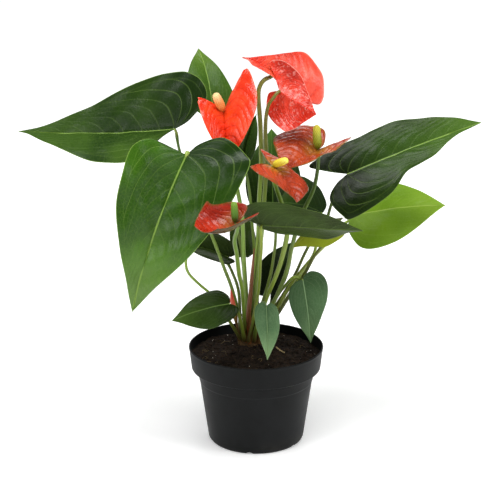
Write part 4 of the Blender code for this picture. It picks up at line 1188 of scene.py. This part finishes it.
def pebbles(name, count, sizes, mat, slot, flat=0.7, spread=63.0, seed=1):
    rng = np.random.default_rng(seed)
    bm = bmesh.new()
    bmesh.ops.create_icosphere(bm, subdivisions=2, radius=1)
    bm.verts.ensure_lookup_table()
    ball = np.array([v.co for v in bm.verts])
    tris = [[v.index for v in f.verts] for f in bm.faces]
    bm.free()
    V, F = [], []
    while len(V) < count * len(ball):
        r, q = spread * np.sqrt(rng.uniform(0.0, 1)), rng.uniform(0, 2 * pi)
        x, y = r * cos(q), r * sin(q)
        if np.hypot(x - CROWN_X / MM, y - CROWN_Y / MM) < 13:
            continue
        size = sizes[0] + (sizes[1] - sizes[0]) * rng.uniform() ** 3
        if r + size > spread + 1.5:
            continue
        turn = np.linalg.qr(rng.normal(size=(3, 3)))[0]
        if np.linalg.det(turn) < 0:
            turn[:, 0] *= -1
        lumpy = np.array([1 + 0.45 * noise.noise(Vector(p) * 1.6 + Vector((len(V), 0, 0))) for p in ball])
        B = (ball * lumpy[:, None] * (rng.uniform(0.6, 1.25, 3))) @ turn.T * size
        B[:, 2] *= flat
        V += list(B + np.array([x, y, soil_height(x, y) + size * 0.22]))
        base = len(F) // len(tris) * len(ball)
        F += [[base + i for i in f] for f in tris]
    o = mesh_piece(name, V, F, [mat], sharp=40)
    return finish_piece(o, slot)


pebbles("peat_crumbs", 820, (0.45, 2.3), peat, "soil", 0.75, seed=3)
t = Tree("perlite")
grit = t.noise(t.place(), 1500, 3, 0.6)
pearl = t.done(t.mix(grit, srgb("b8b2a2"), srgb("e4e0d4")), 0.8, t.bump(grit, 0.5, 0.0004), 0.3)
pebbles("perlite_grains", 26, (0.35, 1.0), pearl, "soil", 0.9, seed=5)


def fibre_material(name, colour):
    t = Tree(name)
    f = t.noise(t.scale(t.place(), (1200, 1200, 1200)), 1.0, 3, 0.6)
    return t.done(t.mix(f, tuple(c * 0.55 for c in colour), colour), 0.75, t.bump(f, 0.4, 0.0003), 0.25)


def fibres(name, count, length, radius, mat, seed, curl=1.0):
    rng = np.random.default_rng(seed)
    V, F = [], []
    made = 0
    while made < count:
        r, q = 60 * np.sqrt(rng.uniform()), rng.uniform(0, 2 * pi)
        x, y, head = r * cos(q), r * sin(q), rng.uniform(0, 2 * pi)
        turn = rng.normal() * 0.16 * curl
        L, pts = rng.uniform(*length), []
        for i in range(13):
            if np.hypot(x, y) > 64 or np.hypot(x - CROWN_X / MM, y - CROWN_Y / MM) < 13:
                break
            pts.append((x, y, soil_height(x, y) + 0.35 + 0.9 * sin(pi * i / 12) * rng.uniform(0.5, 1)))
            x, y = x + L / 12 * cos(head), y + L / 12 * sin(head)
            head += turn + rng.normal() * 0.12 * curl
        if len(pts) < 13:
            continue
        P = even(pts, 22)
        rad = rng.uniform(*radius)
        v, f, _ = tube(P, rad * (1 - 0.5 * np.linspace(0, 1, 22)), 6)
        F += [[len(V) + i for i in g] for g in f]
        V += list(v)
        made += 1
    return finish_piece(mesh_piece(name, V, F, [mat]), "soil")


fibres("pale_fibres", 20, (4, 13), (0.12, 0.24), fibre_material("fibre_pale", srgb("8a7650")), 21, 1.8)
fibres("dark_fibres", 60, (6, 20), (0.16, 0.36), fibre_material("fibre_dark", srgb("32241a")), 22, 1.2)

# one short straw lying to the right of the stems
pts = [(21, -2, soil_height(21, -2) + 1.6), (25, -7, soil_height(25, -7) + 1.4), (29, -13, soil_height(29, -13) + 1.2)]
V, F, A = tube(even(pts, 20), np.full(20, 0.75), 10)
finish_piece(mesh_piece("straw", V, F, [fibre_material("straw_fibre", srgb("c0a878"))]), "soil")

# ================================================================ studio
t = Tree("studio_floor")
floor_n = t.noise(t.place(), 3.0, 3, 0.5)
floor_mat = t.done(t.mix(floor_n, (0.90, 0.90, 0.895), (0.93, 0.93, 0.925)), 0.75, None, 0.15)
# painted light: the floor glows, from 0.34 by the pot to 0.82 farther off, so it is darker round the pot and brighter
# far away
away = t.new("ShaderNodeVectorMath", operation='LENGTH')
t.put(away.inputs[0], t.place())
t.p.inputs["Emission Color"].default_value = (1, 1, 1, 1)
t.put(t.p.inputs["Emission Strength"], t.step(away.outputs["Value"], 0.10, 1.6, 0.34, 0.82))
me = bpy.data.meshes.new("floor")
S = 9.0
me.from_pydata([(-S, -S, 0), (S, -S, 0), (S, S, 0), (-S, S, 0)], [], [(0, 1, 2, 3)])
me.materials.append(floor_mat)
floor = bpy.data.objects.new("floor", me)
scene.collection.objects.link(floor)

world = bpy.data.worlds.new("studio")
scene.world = world
world.use_nodes = True
world.node_tree.nodes["Background"].inputs[0].default_value = (0.97, 0.985, 1.0, 1)
world.node_tree.nodes["Background"].inputs[1].default_value = 0.22


def softbox(name, where, aim, size, power, colour=(1, 1, 1)):
    d = bpy.data.lights.new(name, 'AREA')
    d.shape = 'RECTANGLE'
    d.size, d.size_y = size
    d.energy = power
    d.color = colour
    o = bpy.data.objects.new(name, d)
    scene.collection.objects.link(o)
    o.location = where
    o.rotation_euler = (Vector(aim) - Vector(where)).to_track_quat('-Z', 'Y').to_euler()
    return o


softbox("overhead", (-0.10, -0.35, 1.8), (0, 0, 0.2), (1.1, 0.9), 26)
softbox("left_front", (-1.25, -1.15, 1.15), (0, 0, 0.26), (0.6, 0.9), 9)
softbox("right", (1.35, -0.65, 0.95), (0, 0, 0.24), (0.5, 0.9), 9)
softbox("back", (0.3, 1.5, 1.3), (0, 0, 0.3), (1.0, 0.6), 6)

scene.view_settings.view_transform = 'Standard'
